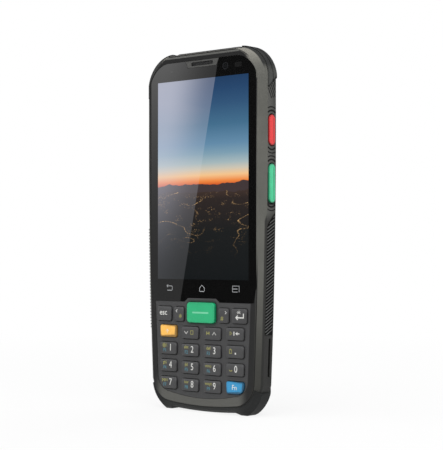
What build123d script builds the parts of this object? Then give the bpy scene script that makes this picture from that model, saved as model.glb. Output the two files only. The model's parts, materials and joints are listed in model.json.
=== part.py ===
from build123d import *
import math
import os

os.makedirs("parts", exist_ok=True)

# Portable barcode data terminal, millimetres.
# X runs to the right of someone facing the screen, Y runs into the terminal and Z runs up.
# Depths are counted from the plane of the front rim towards the back.

# ---- driving sizes: screen ---------------------------------------------------------------
screen_width = 51.84
screen_height = 86.4
lcd_side_border = 1.9
lcd_top_border = 1.7
lcd_foot = 5.2
lcd_thickness = 2.4
glass_side_border = 4.18
glass_top_border = 8.1
glass_foot_border = 9.6
glass_foot_taper = 1.3
glass_taper_height = 6.8
glass_corner_run = 10.1
glass_corner_drop = 7.7
glass_corner_rise = 1.8
glass_kink_radius = 3.0
glass_thickness = 1.1
glass_sink = 0.15
notch_half_width = 9.6
notch_slope = 1.4
notch_height = 3.1
slot_width = 12.6
slot_height = 1.6
tab_half_width = 8.0
tab_slope = 2.0
tab_height = 1.6
top_ledge = 0.7

# ---- driving sizes: body -------------------------------------------------------------
rim_border = 0.85
glass_top_drop = 3.0
side_taper = 2.6
straight_end_drop = 35.1
side_top_drop = 12.1
side_base_lift = 11.6
top_corner_run = 13.5
top_corner_rise = 3.3
base_z = 1.4
base_rise = 1.2
base_corner_run = 13.0
base_corner_rise = 2.1
kink_radius = 5.0
bevel_width = 3.05
bevel_depth = 2.8
rim_top_drop = 0.8
rim_base_lift = 1.4
rim_corner_rise = 1.6
rim_low_rise = 2.1
back_side_inset = 8.0
back_top_inset = 1.0
back_base_inset = 2.0

# ---- driving sizes: walls, clearances ---------------------------------------------------
side_wall = 1.2
front_wall = 2.8
back_wall = 1.6
back_edge_wall = 1.0
running_gap = 0.25
seat_gap = 0.1
loose_gap = 0.3
soft_edge = 0.3

# ---- driving sizes: keypad ---------------------------------------------------------------
chin_height = 3.2
panel_side_step = 3.0
panel_taper = 1.6
panel_low_lift = 8.0
panel_base_rise = 2.0
panel_corner_run = 8.1
panel_corner_rise = 1.6
panel_thickness = 1.4
panel_sink = 0.1
panel_ledge = 0.8
panel_side_margin = 1.775
first_row_lift = 5.3
row_pitch = 7.5
row_arch = 0.35
key_width = 9.5
key_height = 5.2
key_radius = 0.9
key_proud = 0.6
key_lip = 0.45
key_lip_thickness = 0.5
key_travel = 0.4
round_key_radius = 3.4
top_row_step = 7.9
top_row_height = 6.2
top_row_margin = 2.4
end_key_margin = 1.7
end_key_width = 8.1
arrow_key_gap = 1.8
arrow_key_width = 5.5
scan_key_gap = 2.1
scan_key_height = 8.8
scan_key_lift = 0.9
scan_key_proud = 0.9
scan_key_radius = 1.8
membrane_thickness = 0.4
keypad_board_thickness = 0.7

# ---- driving sizes: side keys and grips ------------------------------------------------
side_key_setback = 0.7
side_key_width = 4.2
side_key_proud = 0.5
side_key_travel = 0.4
side_key_lip = 0.4
side_key_lip_thickness = 0.6
side_key_wall = 2.0
side_key_soft_edge = 0.4
side_key_moat = 0.4
side_key_moat_cut = 0.6
upper_side_key_drop = 35.7
upper_side_key_length = 12.9
side_key_pitch = 22.2
lower_side_key_length = 16.4
rocker_gap = 0.3
switch_strip_setback = 3.7
switch_strip_width = 2.6
switch_width = 1.8
switch_length = 3.0
switch_spread = 4.0
grip_top_gap = 17.2
grip_lead = 4.6
grip_inlay = 0.9
grip_proud = 0.25
slit_lift = 3.5
slit_length = 16.0
slit_setback = 2.1
slit_width = 1.2
slit_cut = 0.9
slit_to_grip = 1.5

# ---- driving sizes: bumpers --------------------------------------------------------------
bumper_proud = 0.6
bumper_inlay = 1.5
bumper_front_step = 0.4
bumper_back_step = 3.4
bumper_band = 2.2
groove_cut = 0.35
groove_width = 0.8
top_bumper_reach = 14.2
top_bumper_drop = 20.5
top_bumper_slope = 0.8
base_bumper_proud = 0.4
base_bumper_start = 0.6
base_bumper_height = 10.1
base_bumper_drop = 2.4
band_thickness = 1.25
foot_reach = 11.6
foot_ramp = 0.9
foot_width = 3.2
foot_rise = 0.8

# ---- driving sizes: strip of small pieces above the display ------------------------------
strip_height = 4.6
speaker_width = 14.0
grille_mesh = 0.3
front_camera_inset = 16.9
front_camera_radius = 1.9
front_camera_base = 2.4
flex_thickness = 0.3
led_inset = 12.3
led_size = 1.6
led_flex_width = 4.0
sensor_inset = 9.8
sensor_width = 4.2
sensor_height = 2.2
sensor_flex_width = 6.0

# ---- driving sizes: boards and battery -----------------------------------------------------
chassis_thickness = 0.8
standoff_radius = 2.2
thread_gap = 0.05
main_board_thickness = 0.9
main_board_foot = 26.0
can_height = 1.5
can_pitch = 30.0
can_width = 34.0
can_low_height = 24.0
can_up_x = 2.0
can_up_drop = 37.1
can_up_width = 30.0
can_up_height = 26.0
motor_inset = 10.7
motor_drop = 23.1
motor_radius = 4.0
motor_thickness = 2.5
battery_thickness = 5.3
bay_floor = 0.8
bay_ledge = 1.4
bay_corner = 1.5
bay_foot = 6.0
bay_head = 6.5
contact_lift = 6.0
contact_width = 14.0
contact_height = 4.0
usb_width = 9.0
usb_thickness = 3.0
usb_length = 7.4
usb_mouth_width = 8.34
usb_mouth_height = 2.56
usb_mouth_z = 1.2
usb_end_wall = 1.4
usb_tongue_width = 6.7
usb_tongue_thickness = 0.7
usb_board_width = 16.0
usb_board_height = 12.0
usb_board_setback = 3.6
usb_board_thickness = 0.8

# ---- driving sizes: back -------------------------------------------------------------------
cover_margin = 1.0
cover_top_drop = 43.1
cover_corner = 5.0
cover_thickness = 1.5
cover_swing = 30.0
hook_inset = 8.4
hook_width = 8.0
hook_reach = 2.0
hook_thickness = 1.1
hook_root = 4.0
nail_notch_width = 14.0
nail_notch_height = 2.2
nail_notch_depth = 1.0
upper_cavity_foot = 4.5
upper_cavity_corner = 6.0
lower_cavity_inset = 2.9
lower_cavity_lift = 6.6
lower_cavity_height = 14.0
lower_cavity_head = 2.0
screw_head_radius = 1.9
screw_head_height = 1.4
screw_radius = 0.8
screw_floor = 1.2
screw_drive_radius = 0.9
top_screw_inset = 1.0
top_screw_drop = 10.1
middle_screw_outset = 1.1
middle_screw_drop = 35.6
base_screw_inset = 13.2
base_screw_lift = 2.5
boss_wall = 1.2
grille_rows = 5
grille_pitch = 1.9
grille_length = 12.0
grille_slot = 0.9
camera_drop = 27.6
loudspeaker_x = -10.5
loudspeaker_width = 16.0
loudspeaker_height = 11.0
loudspeaker_depth = 3.5
rear_camera_x = 7.0
rear_camera_size = 8.6
rear_camera_height = 4.4
rear_camera_radius = 3.2
flash_x = 15.0
flash_radius = 1.4
flash_height = 1.2
camera_window_x = 9.6
camera_window_width = 18.0
camera_window_height = 10.4
camera_window_corner = 4.0
camera_window_thickness = 1.0

# ---- driving sizes: scan engine --------------------------------------------------------------
bezel_to_bumper = 0.9
bezel_front_step = 0.5
bezel_back_step = 1.8
bezel_proud = 0.6
bezel_thickness = 2.6
bezel_corner = 2.0
bezel_chamfer = 1.0
scan_opening_width = 25.2
scan_opening_depth = 4.4
scan_window_thickness = 1.0
window_sink = 0.3
window_ledge = 0.5
engine_width = 21.6
engine_depth = 7.0
engine_height = 13.6
engine_lid = 2.0
engine_cavity_gap = 0.5
engine_eye_x = 4.6
engine_eye_radius = 2.3
engine_eye_cut = 2.5

# ---- depths that follow from the stack of pieces -----------------------------------------
glass_back = glass_sink + glass_thickness
lcd_back = glass_back + lcd_thickness
chassis_back = lcd_back + chassis_thickness
main_board_front = chassis_back + loose_gap
main_board_back = main_board_front + main_board_thickness
belt_end = main_board_back + motor_thickness + running_gap
bay_front = belt_end + bay_floor
battery_front = bay_front + seat_gap
cover_front = battery_front + battery_thickness + loose_gap
case_depth = cover_front + cover_thickness
front_y = -(case_depth + scan_key_proud) / 2 + scan_key_proud
back_inner = case_depth - back_wall
camera_window_front = case_depth - camera_window_thickness
membrane_front = panel_thickness + key_lip_thickness + key_travel + seat_gap
keypad_board_front = max(membrane_front + membrane_thickness, front_wall)
keypad_board_back = keypad_board_front + keypad_board_thickness
side_key_front = bevel_depth + side_key_setback
side_key_depth = side_key_front + side_key_width / 2
side_key_back = belt_end - side_key_setback
slit_depth = belt_end - slit_setback
bumper_front = bevel_depth + bumper_front_step
bumper_back = case_depth - bumper_back_step
bezel_front = bevel_depth + bezel_front_step
bezel_back = case_depth - bezel_back_step
engine_front = back_inner - seat_gap - engine_depth
engine_middle = engine_front + engine_depth / 2
usb_front = chassis_back + seat_gap + usb_board_thickness
usb_back = usb_front + usb_thickness

# ---- widths that follow from the screen ---------------------------------------------------
lcd_width = screen_width + 2 * lcd_side_border
glass_half_width = screen_width / 2 + glass_side_border
glass_foot_half_width = glass_half_width - glass_foot_taper
glass_corner_x = glass_half_width - glass_corner_run
half_width = glass_half_width + rim_border + bevel_width
low_half_width = half_width - side_taper
side_curve_rise = side_taper / 4
top_corner_x = half_width - top_corner_run
base_corner_x = half_width - base_corner_run
panel_half_width = glass_half_width - panel_side_step
panel_low_half_width = panel_half_width - panel_taper
panel_corner_x = panel_half_width - panel_corner_run
column_pitch = (2 * (panel_low_half_width - panel_side_margin) - key_width) / 3
end_key_x = panel_half_width - end_key_margin - end_key_width / 2
arrow_key_x = end_key_x - end_key_width / 2 - arrow_key_gap - arrow_key_width / 2
scan_key_width = 2 * (arrow_key_x - arrow_key_width / 2 - scan_key_gap)
front_camera_x = glass_half_width - front_camera_inset
led_x = glass_half_width - led_inset
sensor_x = glass_half_width - sensor_inset
side_key_face = half_width - side_key_wall
switch_strip_x = side_key_face - switch_strip_setback
top_bumper_x = half_width - top_bumper_reach
bezel_half_width = top_bumper_x - bezel_to_bumper
foot_x = low_half_width - foot_reach
cover_half_width = low_half_width - back_side_inset - cover_margin
bay_half_width = cover_half_width - bay_ledge
hook_x = cover_half_width - hook_inset
upper_cavity_half_width = half_width - back_side_inset - back_edge_wall
lower_cavity_half_width = low_half_width - back_side_inset - lower_cavity_inset
motor_x = half_width - motor_inset

# ---- heights, from the base up ---------------------------------------------------------------
side_base_z = base_z + side_base_lift
panel_base_z = base_z + rim_base_lift + chin_height
panel_low_z = panel_base_z + panel_low_lift
first_row_z = panel_base_z + first_row_lift
top_row_z = first_row_z + 3 * row_pitch + top_row_step
scan_key_z = top_row_z + scan_key_lift
glass_base_z = top_row_z + top_row_height / 2 + top_row_margin
glass_taper_z = glass_base_z + glass_taper_height
screen_z = glass_base_z + glass_foot_border + screen_height / 2
lcd_base_z = screen_z - screen_height / 2 - lcd_foot
lcd_top_z = screen_z + screen_height / 2 + lcd_top_border
strip_z = lcd_top_z + loose_gap
glass_top_z = screen_z + screen_height / 2 + glass_top_border
glass_corner_z = glass_top_z - glass_corner_drop
top_z = glass_top_z + glass_top_drop + rim_top_drop
side_top_z = top_z - side_top_drop
straight_end_z = top_z - straight_end_drop
upper_side_key_z = top_z - upper_side_key_drop
lower_side_key_z = upper_side_key_z - side_key_pitch
slit_base_z = side_base_z + slit_lift
slit_top_z = slit_base_z + slit_length
grip_base_z = slit_top_z + slit_to_grip
grip_top_z = lower_side_key_z - grip_top_gap
top_bumper_z = top_z - top_bumper_drop
base_bumper_z = base_z + base_bumper_height
can_up_z = top_z - can_up_drop
can_low_z = can_up_z - can_pitch
main_board_base_z = can_low_z - main_board_foot
contact_z = main_board_base_z + contact_lift
motor_z = top_z - motor_drop
camera_z = top_z - camera_drop
lower_cavity_base_z = base_z + lower_cavity_lift
lower_cavity_top_z = lower_cavity_base_z + lower_cavity_height
cover_base_z = lower_cavity_top_z + lower_cavity_head
cover_top_z = top_z - cover_top_drop
bay_base_z = cover_base_z + bay_foot
bay_top_z = cover_top_z - bay_head
bezel_top_z = top_z + bezel_proud
bezel_base_z = bezel_top_z - bezel_thickness
engine_top_z = bezel_base_z - engine_lid
upper_cavity_base_z = cover_top_z + upper_cavity_foot
upper_cavity_top_z = engine_top_z + engine_cavity_gap
screw_places = [
    (top_corner_x - top_screw_inset, top_z - top_screw_drop),
    (top_corner_x + middle_screw_outset, top_z - middle_screw_drop),
    (low_half_width - base_screw_inset, side_base_z + base_screw_lift),
]

# ---- swing of the battery cover ----------------------------------------------------------------
swing = math.radians(cover_swing)
hook_depth = cover_thickness + loose_gap + hook_thickness
hook_sweep = hook_depth * math.cos(swing) + hook_reach * math.sin(swing)
hook_pocket = hook_sweep - cover_thickness + 2 * loose_gap


# ---- helpers ------------------------------------------------------------------------------
def at_depth(depth):
    return Plane.XZ.offset(-(front_y + depth))


def slab(face, near, far):
    return extrude(at_depth(near) * face, amount=near - far)


def block(x_range, z_range, depth_range):
    width = x_range[1] - x_range[0]
    height = z_range[1] - z_range[0]
    face = Pos((x_range[0] + x_range[1]) / 2, (z_range[0] + z_range[1]) / 2) * Rectangle(width, height)
    return slab(face, depth_range[0], depth_range[1])


def centred_block(x, z, width, height, near, far):
    return slab(Pos(x, z) * Rectangle(width, height), near, far)


def rounded_block(x, z, width, height, radius, near, far):
    return slab(Pos(x, z) * RectangleRounded(width, height, radius), near, far)


def peg(x, z, radius, near, far):
    return slab(Pos(x, z) * Circle(radius), near, far)


def side_plate(outline, inner_x, outer_x):
    """Solid of an outline drawn in the Y-Z plane, between two distances from the middle."""
    return extrude(Plane.YZ.offset(inner_x) * outline, amount=outer_x - inner_x)


def other_side(solid):
    return mirror(solid, about=Plane.YZ)


def bulge(start, end, rise):
    """Arc between two points that bows out to the right of the way it runs."""
    run = Vector(*end) - Vector(*start)
    middle = (Vector(*start) + Vector(*end)) / 2
    out = Vector(run.Y, -run.X).normalized()
    return ThreePointArc(start, middle + out * rise, end)


def mirrored_face(lines):
    half = Curve() + lines
    other = mirror(half, about=Plane.YZ)
    return make_face(half.edges() + other.edges())


def soften(face, places, radius):
    """Rounds the corners of a flat outline at the given places and at their mirror images."""
    spots = [Vector(x, z) for x, z in places] + [Vector(-x, z) for x, z in places]
    near = [v for v in face.vertices() if min((Vector(v.X, v.Y) - s).length for s in spots) < 0.01]
    return fillet(near, radius)


# ---- outer shape --------------------------------------------------------------------------
def base_lines(base, corner, side_foot, low_rise):
    return [
        bulge((0, base), corner, base_rise / 4),
        bulge(corner, side_foot, low_rise),
    ]


def foot_lines(band, inner, foot_z, side_foot, low_rise):
    """Base line with a flat foot at each end, for the bumper that the terminal stands on."""
    step = (inner - foot_ramp, band + foot_rise)
    return [
        bulge((0, band), step, foot_rise / 4),
        Line(step, (inner, foot_z)),
        Line((inner, foot_z), (inner + foot_width, foot_z)),
        bulge((inner + foot_width, foot_z), side_foot, low_rise),
    ]


def body_outline(side_inset, top_inset, base_inset, top_rise, low_rise, grow, foot_z=None):
    side = half_width - side_inset + grow
    low_side = low_half_width - side_inset + grow
    top = top_z - top_inset + grow
    shoulder = (top_corner_x - side_inset / 2, top)
    side_foot = (low_side, side_base_z)
    if foot_z is None:
        base = base_z + base_inset - grow
        lines = base_lines(base, (base_corner_x - side_inset / 2, base + base_rise), side_foot, low_rise)
    else:
        band = base_z + base_inset - band_thickness
        lines = foot_lines(band, foot_x - side_inset / 2, foot_z, side_foot, low_rise)
    lines += [
        bulge(side_foot, (side, straight_end_z), side_curve_rise),
        Line((side, straight_end_z), (side, side_top_z)),
        bulge((side, side_top_z), shoulder, top_rise),
        Line(shoulder, (0, top)),
    ]
    return soften(mirrored_face(lines), [(side, side_top_z), shoulder], kink_radius)


def rim_outline(grow=0.0, feet=False):
    foot_z = rim_base_lift if feet else None
    return body_outline(bevel_width, rim_top_drop, rim_base_lift, rim_corner_rise, rim_low_rise, grow, foot_z)


def belt_outline(grow=0.0, feet=False):
    return body_outline(0, 0, 0, top_corner_rise, base_corner_rise, grow, 0 if feet else None)


def back_outline(grow=0.0, feet=False):
    return body_outline(
        back_side_inset, back_top_inset, back_base_inset, top_corner_rise, base_corner_rise, grow,
        0 if feet else None)


def body_solid(grow=0.0, feet=False):
    """Whole outer shape: bevelled front, upright belt and tapered back."""
    rim = at_depth(0) * rim_outline(grow, feet)
    belt_front = at_depth(bevel_depth) * belt_outline(grow, feet)
    belt_back = at_depth(belt_end) * belt_outline(grow, feet)
    back = at_depth(case_depth) * back_outline(grow, feet)
    belt = slab(belt_outline(grow, feet), bevel_depth, belt_end)
    return loft([rim, belt_front], ruled=True) + belt + loft([belt_back, back], ruled=True)


def between(near, far):
    """Everything that lies between two depths."""
    return slab(Rectangle(4 * half_width, 4 * top_z), near, far)


# ---- screen --------------------------------------------------------------------------------
def glass_outline(grow=0.0):
    side = glass_half_width + grow
    base = glass_base_z - grow
    top = glass_top_z + grow
    tab_top = base + tab_height
    notch_base = top - notch_height
    lines = [
        Line((0, tab_top), (tab_half_width, tab_top)),
        Line((tab_half_width, tab_top), (tab_half_width + tab_slope, base)),
        Line((tab_half_width + tab_slope, base), (glass_foot_half_width + grow, base)),
        Line((glass_foot_half_width + grow, base), (side, glass_taper_z)),
        Line((side, glass_taper_z), (side, glass_corner_z)),
        bulge((side, glass_corner_z), (glass_corner_x, top), glass_corner_rise),
        Line((glass_corner_x, top), (notch_half_width, top)),
        Line((notch_half_width, top), (notch_half_width - notch_slope, notch_base)),
        Line((notch_half_width - notch_slope, notch_base), (0, notch_base)),
    ]
    return soften(mirrored_face(lines), [(side, glass_corner_z), (glass_corner_x, top)], glass_kink_radius)


def glass_seat():
    """Pocket for the glass: its outline without the notch and the tab, a clearance larger."""
    side = glass_half_width + seat_gap
    base = glass_base_z
    top = glass_top_z + seat_gap
    lines = [
        Line((0, base), (glass_foot_half_width + seat_gap, base)),
        Line((glass_foot_half_width + seat_gap, base), (side, glass_taper_z)),
        Line((side, glass_taper_z), (side, glass_corner_z)),
        bulge((side, glass_corner_z), (glass_corner_x, top), glass_corner_rise),
        Line((glass_corner_x, top), (0, top)),
    ]
    return soften(mirrored_face(lines), [(side, glass_corner_z), (glass_corner_x, top)], glass_kink_radius)


def make_display_glass():
    return slab(glass_outline(), glass_sink, glass_back)


def make_lcd_module():
    return block((-lcd_width / 2, lcd_width / 2), (lcd_base_z, lcd_top_z), (glass_back, lcd_back))


def screen_window():
    """Opening behind the glass for the display and for what sits above it."""
    half = lcd_width / 2 + loose_gap
    tall = slab(glass_seat(), glass_back, front_wall)
    trim = block((-half, half), (lcd_base_z - loose_gap, glass_top_z - top_ledge), (glass_back, front_wall))
    corners = slab(offset(glass_seat(), -top_ledge), glass_back, front_wall)
    return tall & trim & corners


def make_earpiece_grille():
    low = glass_top_z - notch_height + seat_gap
    half = notch_half_width - seat_gap
    foot = half - notch_slope
    lines = [
        Line((0, low), (foot, low)),
        Line((foot, low), (half, glass_top_z)),
        Line((half, glass_top_z), (0, glass_top_z)),
    ]
    plate = slab(mirrored_face(lines), glass_sink, glass_back)
    middle = (low + glass_top_z) / 2
    slot = Pos(0, middle) * SlotOverall(slot_width, slot_height)
    return plate - slab(slot, glass_sink, glass_back - grille_mesh)


def make_earpiece_speaker():
    z = strip_z + strip_height / 2
    return centred_block(0, z, speaker_width, strip_height, glass_back + loose_gap, lcd_back)


def make_front_camera():
    z = strip_z + strip_height / 2
    base = centred_block(front_camera_x, z, strip_height, strip_height, front_camera_base, lcd_back)
    return base + peg(front_camera_x, z, front_camera_radius, glass_back + loose_gap, front_camera_base)


def make_sensor_board():
    z = strip_z + strip_height / 2
    flex_front = lcd_back - flex_thickness
    flex = centred_block(-led_x, z, led_flex_width, strip_height, flex_front, lcd_back)
    flex += centred_block(sensor_x, z, sensor_flex_width, strip_height, flex_front, lcd_back)
    led = centred_block(-led_x, z, led_size, led_size, glass_back + loose_gap, flex_front)
    sensor = centred_block(sensor_x, z, sensor_width, sensor_height, glass_back + loose_gap, flex_front)
    return Compound(children=list((flex + led + sensor).solids()))


# ---- keypad --------------------------------------------------------------------------------
def panel_outline(grow=0.0, tab=True):
    base = panel_base_z - grow
    side = panel_half_width + grow
    low_side = panel_low_half_width + grow
    corner = (panel_corner_x, base + panel_base_rise)
    top = glass_base_z - seat_gap + (grow if tab else 0)
    tab_top = top + tab_height
    lines = [
        bulge((0, base), corner, panel_base_rise / 4),
        bulge(corner, (low_side, panel_low_z), panel_corner_rise),
        Line((low_side, panel_low_z), (side, top)),
    ]
    if tab:
        foot = tab_half_width + tab_slope
        lines += [
            Line((side, top), (foot, top)),
            Line((foot, top), (tab_half_width, tab_top)),
            Line((tab_half_width, tab_top), (0, tab_top)),
        ]
    else:
        lines += [Line((side, top), (0, top))]
    return mirrored_face(lines)


def plain_key_face(width, height):
    return RectangleRounded(width, height, key_radius)


def corner_key_face(width, height, turn):
    """Key outline with one large lower corner: on the left for turn -1, on the right for turn 1."""
    face = Rectangle(width, height)
    large = [v for v in face.vertices() if v.Y < 0 and v.X * turn > 0]
    small = [v for v in face.vertices() if v not in large]
    face = fillet(large, round_key_radius)
    corners = [Vector(v.X, v.Y) for v in small]
    rest = [v for v in face.vertices() if min((Vector(v.X, v.Y) - c).length for c in corners) < 0.01]
    return fillet(rest, key_radius)


def key_layout():
    """Name, middle, outline and proud height of each key on the front."""
    layout = []
    names = [
        ["key_7", "key_8", "key_9", "function_key"],
        ["key_4", "key_5", "key_6", "key_0"],
        ["key_1", "key_2", "key_3", "point_key"],
        ["orange_key", "down_key", "up_key", "delete_key"],
    ]
    for row, row_names in enumerate(names):
        for column, name in enumerate(row_names):
            x = (column - 1.5) * column_pitch
            lift = row_arch if column in (0, 3) else 0
            face = plain_key_face(key_width, key_height)
            if name == "key_7":
                face = corner_key_face(key_width, key_height, -1)
            if name == "function_key":
                face = corner_key_face(key_width, key_height, 1)
            layout.append((name, x, first_row_z + row * row_pitch + lift, face, key_proud))
    end_face = plain_key_face(end_key_width, top_row_height)
    arrow_face = plain_key_face(arrow_key_width, top_row_height)
    scan_face = RectangleRounded(scan_key_width, scan_key_height, scan_key_radius)
    layout.append(("escape_key", -end_key_x, top_row_z, end_face, key_proud))
    layout.append(("left_key", -arrow_key_x, top_row_z, arrow_face, key_proud))
    layout.append(("scan_key", 0, scan_key_z, scan_face, scan_key_proud))
    layout.append(("right_key", arrow_key_x, top_row_z, arrow_face, key_proud))
    layout.append(("enter_key", end_key_x, top_row_z, end_face, key_proud))
    return layout


def make_key(x, z, face, proud):
    lip_end = panel_thickness + key_lip_thickness
    cap = slab(Pos(x, z) * face, -proud, lip_end)
    rim = cap.faces().sort_by(Axis.Y)[0].edges()
    cap = fillet(rim, soft_edge)
    lip = slab(Pos(x, z) * offset(face, key_lip), panel_thickness, lip_end)
    return cap + lip


def make_keypad_frame(layout):
    plate = slab(panel_outline(), panel_sink, panel_thickness)
    for name, x, z, face, proud in layout:
        plate -= slab(Pos(x, z) * offset(face, running_gap), 0, panel_thickness)
    return plate


def make_keypad_membrane():
    return slab(panel_outline(-panel_ledge - loose_gap), membrane_front, keypad_board_front)


def make_keypad_board():
    board = slab(rim_outline(-side_wall - loose_gap), keypad_board_front, keypad_board_back)
    limit = lcd_base_z - 2 * loose_gap
    return board & block((-half_width, half_width), (0, limit), (0, case_depth))


# ---- bumpers and grips --------------------------------------------------------------------
def top_bumper_zone():
    """Corner region on the right: behind the bevel, above a slanted step."""
    start = top_bumper_z + top_bumper_slope * bumper_front
    end = top_bumper_z + top_bumper_slope * bumper_back
    near = front_y + bumper_front
    far = front_y + bumper_back
    outline = Polyline((near, start), (far, end), (far, 2 * top_z), (near, 2 * top_z), (near, start))
    return side_plate(make_face(outline), top_bumper_x, 2 * half_width)


def base_bumper_zone():
    low = base_bumper_z - base_bumper_drop
    inner = low_half_width - bevel_width
    lines = [
        Line((0, -base_z), (2 * half_width, -base_z)),
        Line((2 * half_width, -base_z), (2 * half_width, low)),
        Line((2 * half_width, low), (low_half_width, low)),
        Line((low_half_width, low), (inner, base_bumper_z)),
        Line((inner, base_bumper_z), (0, base_bumper_z)),
    ]
    return slab(mirrored_face(lines), base_bumper_start, bumper_back)


def grip_zone():
    near = front_y + side_key_front
    far = front_y + side_key_back
    outline = Polyline((near, grip_base_z), (far, grip_base_z), (far, grip_top_z + grip_lead),
                       (near, grip_top_z), (near, grip_base_z))
    return side_plate(make_face(outline), low_half_width / 2, 2 * half_width)


def make_top_bumper(outer, core):
    bumper = (outer & top_bumper_zone()) - core
    groove_front = bumper_front + bumper_band
    skin = bumper - body_solid(bumper_proud - groove_cut)
    return bumper - (skin & between(groove_front, groove_front + groove_width))


def make_base_bumper(core_front, core_back):
    outer = body_solid(base_bumper_proud, feet=True)
    bumper = (outer & base_bumper_zone()) - core_front - core_back
    mouth = usb_width / 2 + 3 * loose_gap
    return bumper - block((-mouth, mouth), (-base_z, 2 * base_z + rim_base_lift),
                          (usb_front - 2 * loose_gap, usb_back + 2 * loose_gap))


# ---- side keys -----------------------------------------------------------------------------
def side_key_face_at(z, length, grow=0.0):
    slot = SlotOverall(length + 2 * grow, side_key_width + 2 * grow, rotation=90)
    return Pos(front_y + side_key_depth, z) * slot


def make_side_key(z, length, gap):
    """Key on the right side; its lip lies behind the wall, a gap away from it."""
    lip_x = side_key_face - gap
    inner_x = lip_x - side_key_lip_thickness
    cap = side_plate(side_key_face_at(z, length), inner_x, half_width + side_key_proud)
    cap = fillet(cap.faces().sort_by(Axis.X)[-1].edges(), side_key_soft_edge)
    lip = side_plate(side_key_face_at(z, length, side_key_lip), inner_x, lip_x)
    return cap + lip


def side_key_cut(z, length):
    hole = side_plate(side_key_face_at(z, length, running_gap), half_width / 2, 2 * half_width)
    lip_outline = side_key_face_at(z, length, side_key_lip + running_gap)
    pocket = side_plate(lip_outline, half_width / 2, side_key_face)
    moat_outline = side_key_face_at(z, length, side_key_moat)
    moat = side_plate(moat_outline, half_width - side_key_moat_cut, 2 * half_width)
    return hole + pocket + moat


def make_side_switches():
    near = front_y + chassis_back + seat_gap
    low = lower_side_key_z - lower_side_key_length / 2
    high = upper_side_key_z + upper_side_key_length / 2
    middle = Pos(near + switch_strip_width / 2, (low + high) / 2)
    strip = side_plate(middle * Rectangle(switch_strip_width, high - low), switch_strip_x,
                       switch_strip_x + flex_thickness)
    top = side_key_face - side_key_lip_thickness - side_key_travel - loose_gap
    places = [lower_side_key_z, upper_side_key_z - switch_spread, upper_side_key_z + switch_spread]
    for z in places:
        spot = Pos(front_y + side_key_depth, z) * Rectangle(switch_width, switch_length)
        strip += side_plate(spot, switch_strip_x, top)
    return Compound(children=[*strip.solids(), *other_side(strip).solids()])


# ---- housings -------------------------------------------------------------------------------
def bezel_seat():
    half = bezel_half_width + seat_gap
    depths = (bezel_front - seat_gap, bezel_back + seat_gap)
    return block((-half, half), (bezel_base_z - seat_gap, 2 * top_z), depths)


def slits():
    middle = Pos(front_y + slit_depth, (slit_base_z + slit_top_z) / 2)
    outline = middle * Rectangle(slit_width, slit_top_z - slit_base_z)
    right = side_plate(outline, low_half_width - slit_cut, 2 * half_width)
    return right + other_side(right)


def make_front_housing(body, layout, bumper_cuts, side_cuts):
    shell = body & between(0, belt_end)
    shell -= slab(rim_outline(-side_wall), front_wall, belt_end)
    shell -= slab(glass_seat(), 0, glass_back)
    shell -= screen_window()
    shell -= slab(panel_outline(seat_gap), 0, panel_thickness)
    shell -= slab(panel_outline(-panel_ledge), panel_thickness, front_wall)
    for name, x, z, face, proud in layout:
        shell -= slab(Pos(x, z) * offset(face, key_lip + running_gap), panel_thickness, front_wall)
    for cut in bumper_cuts + side_cuts:
        shell -= cut
    shell -= bezel_seat()
    shell -= slits()
    mouth = usb_width / 2 + loose_gap
    return shell - block((-mouth, mouth), (0, panel_base_z), (usb_front - seat_gap, belt_end))


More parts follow.
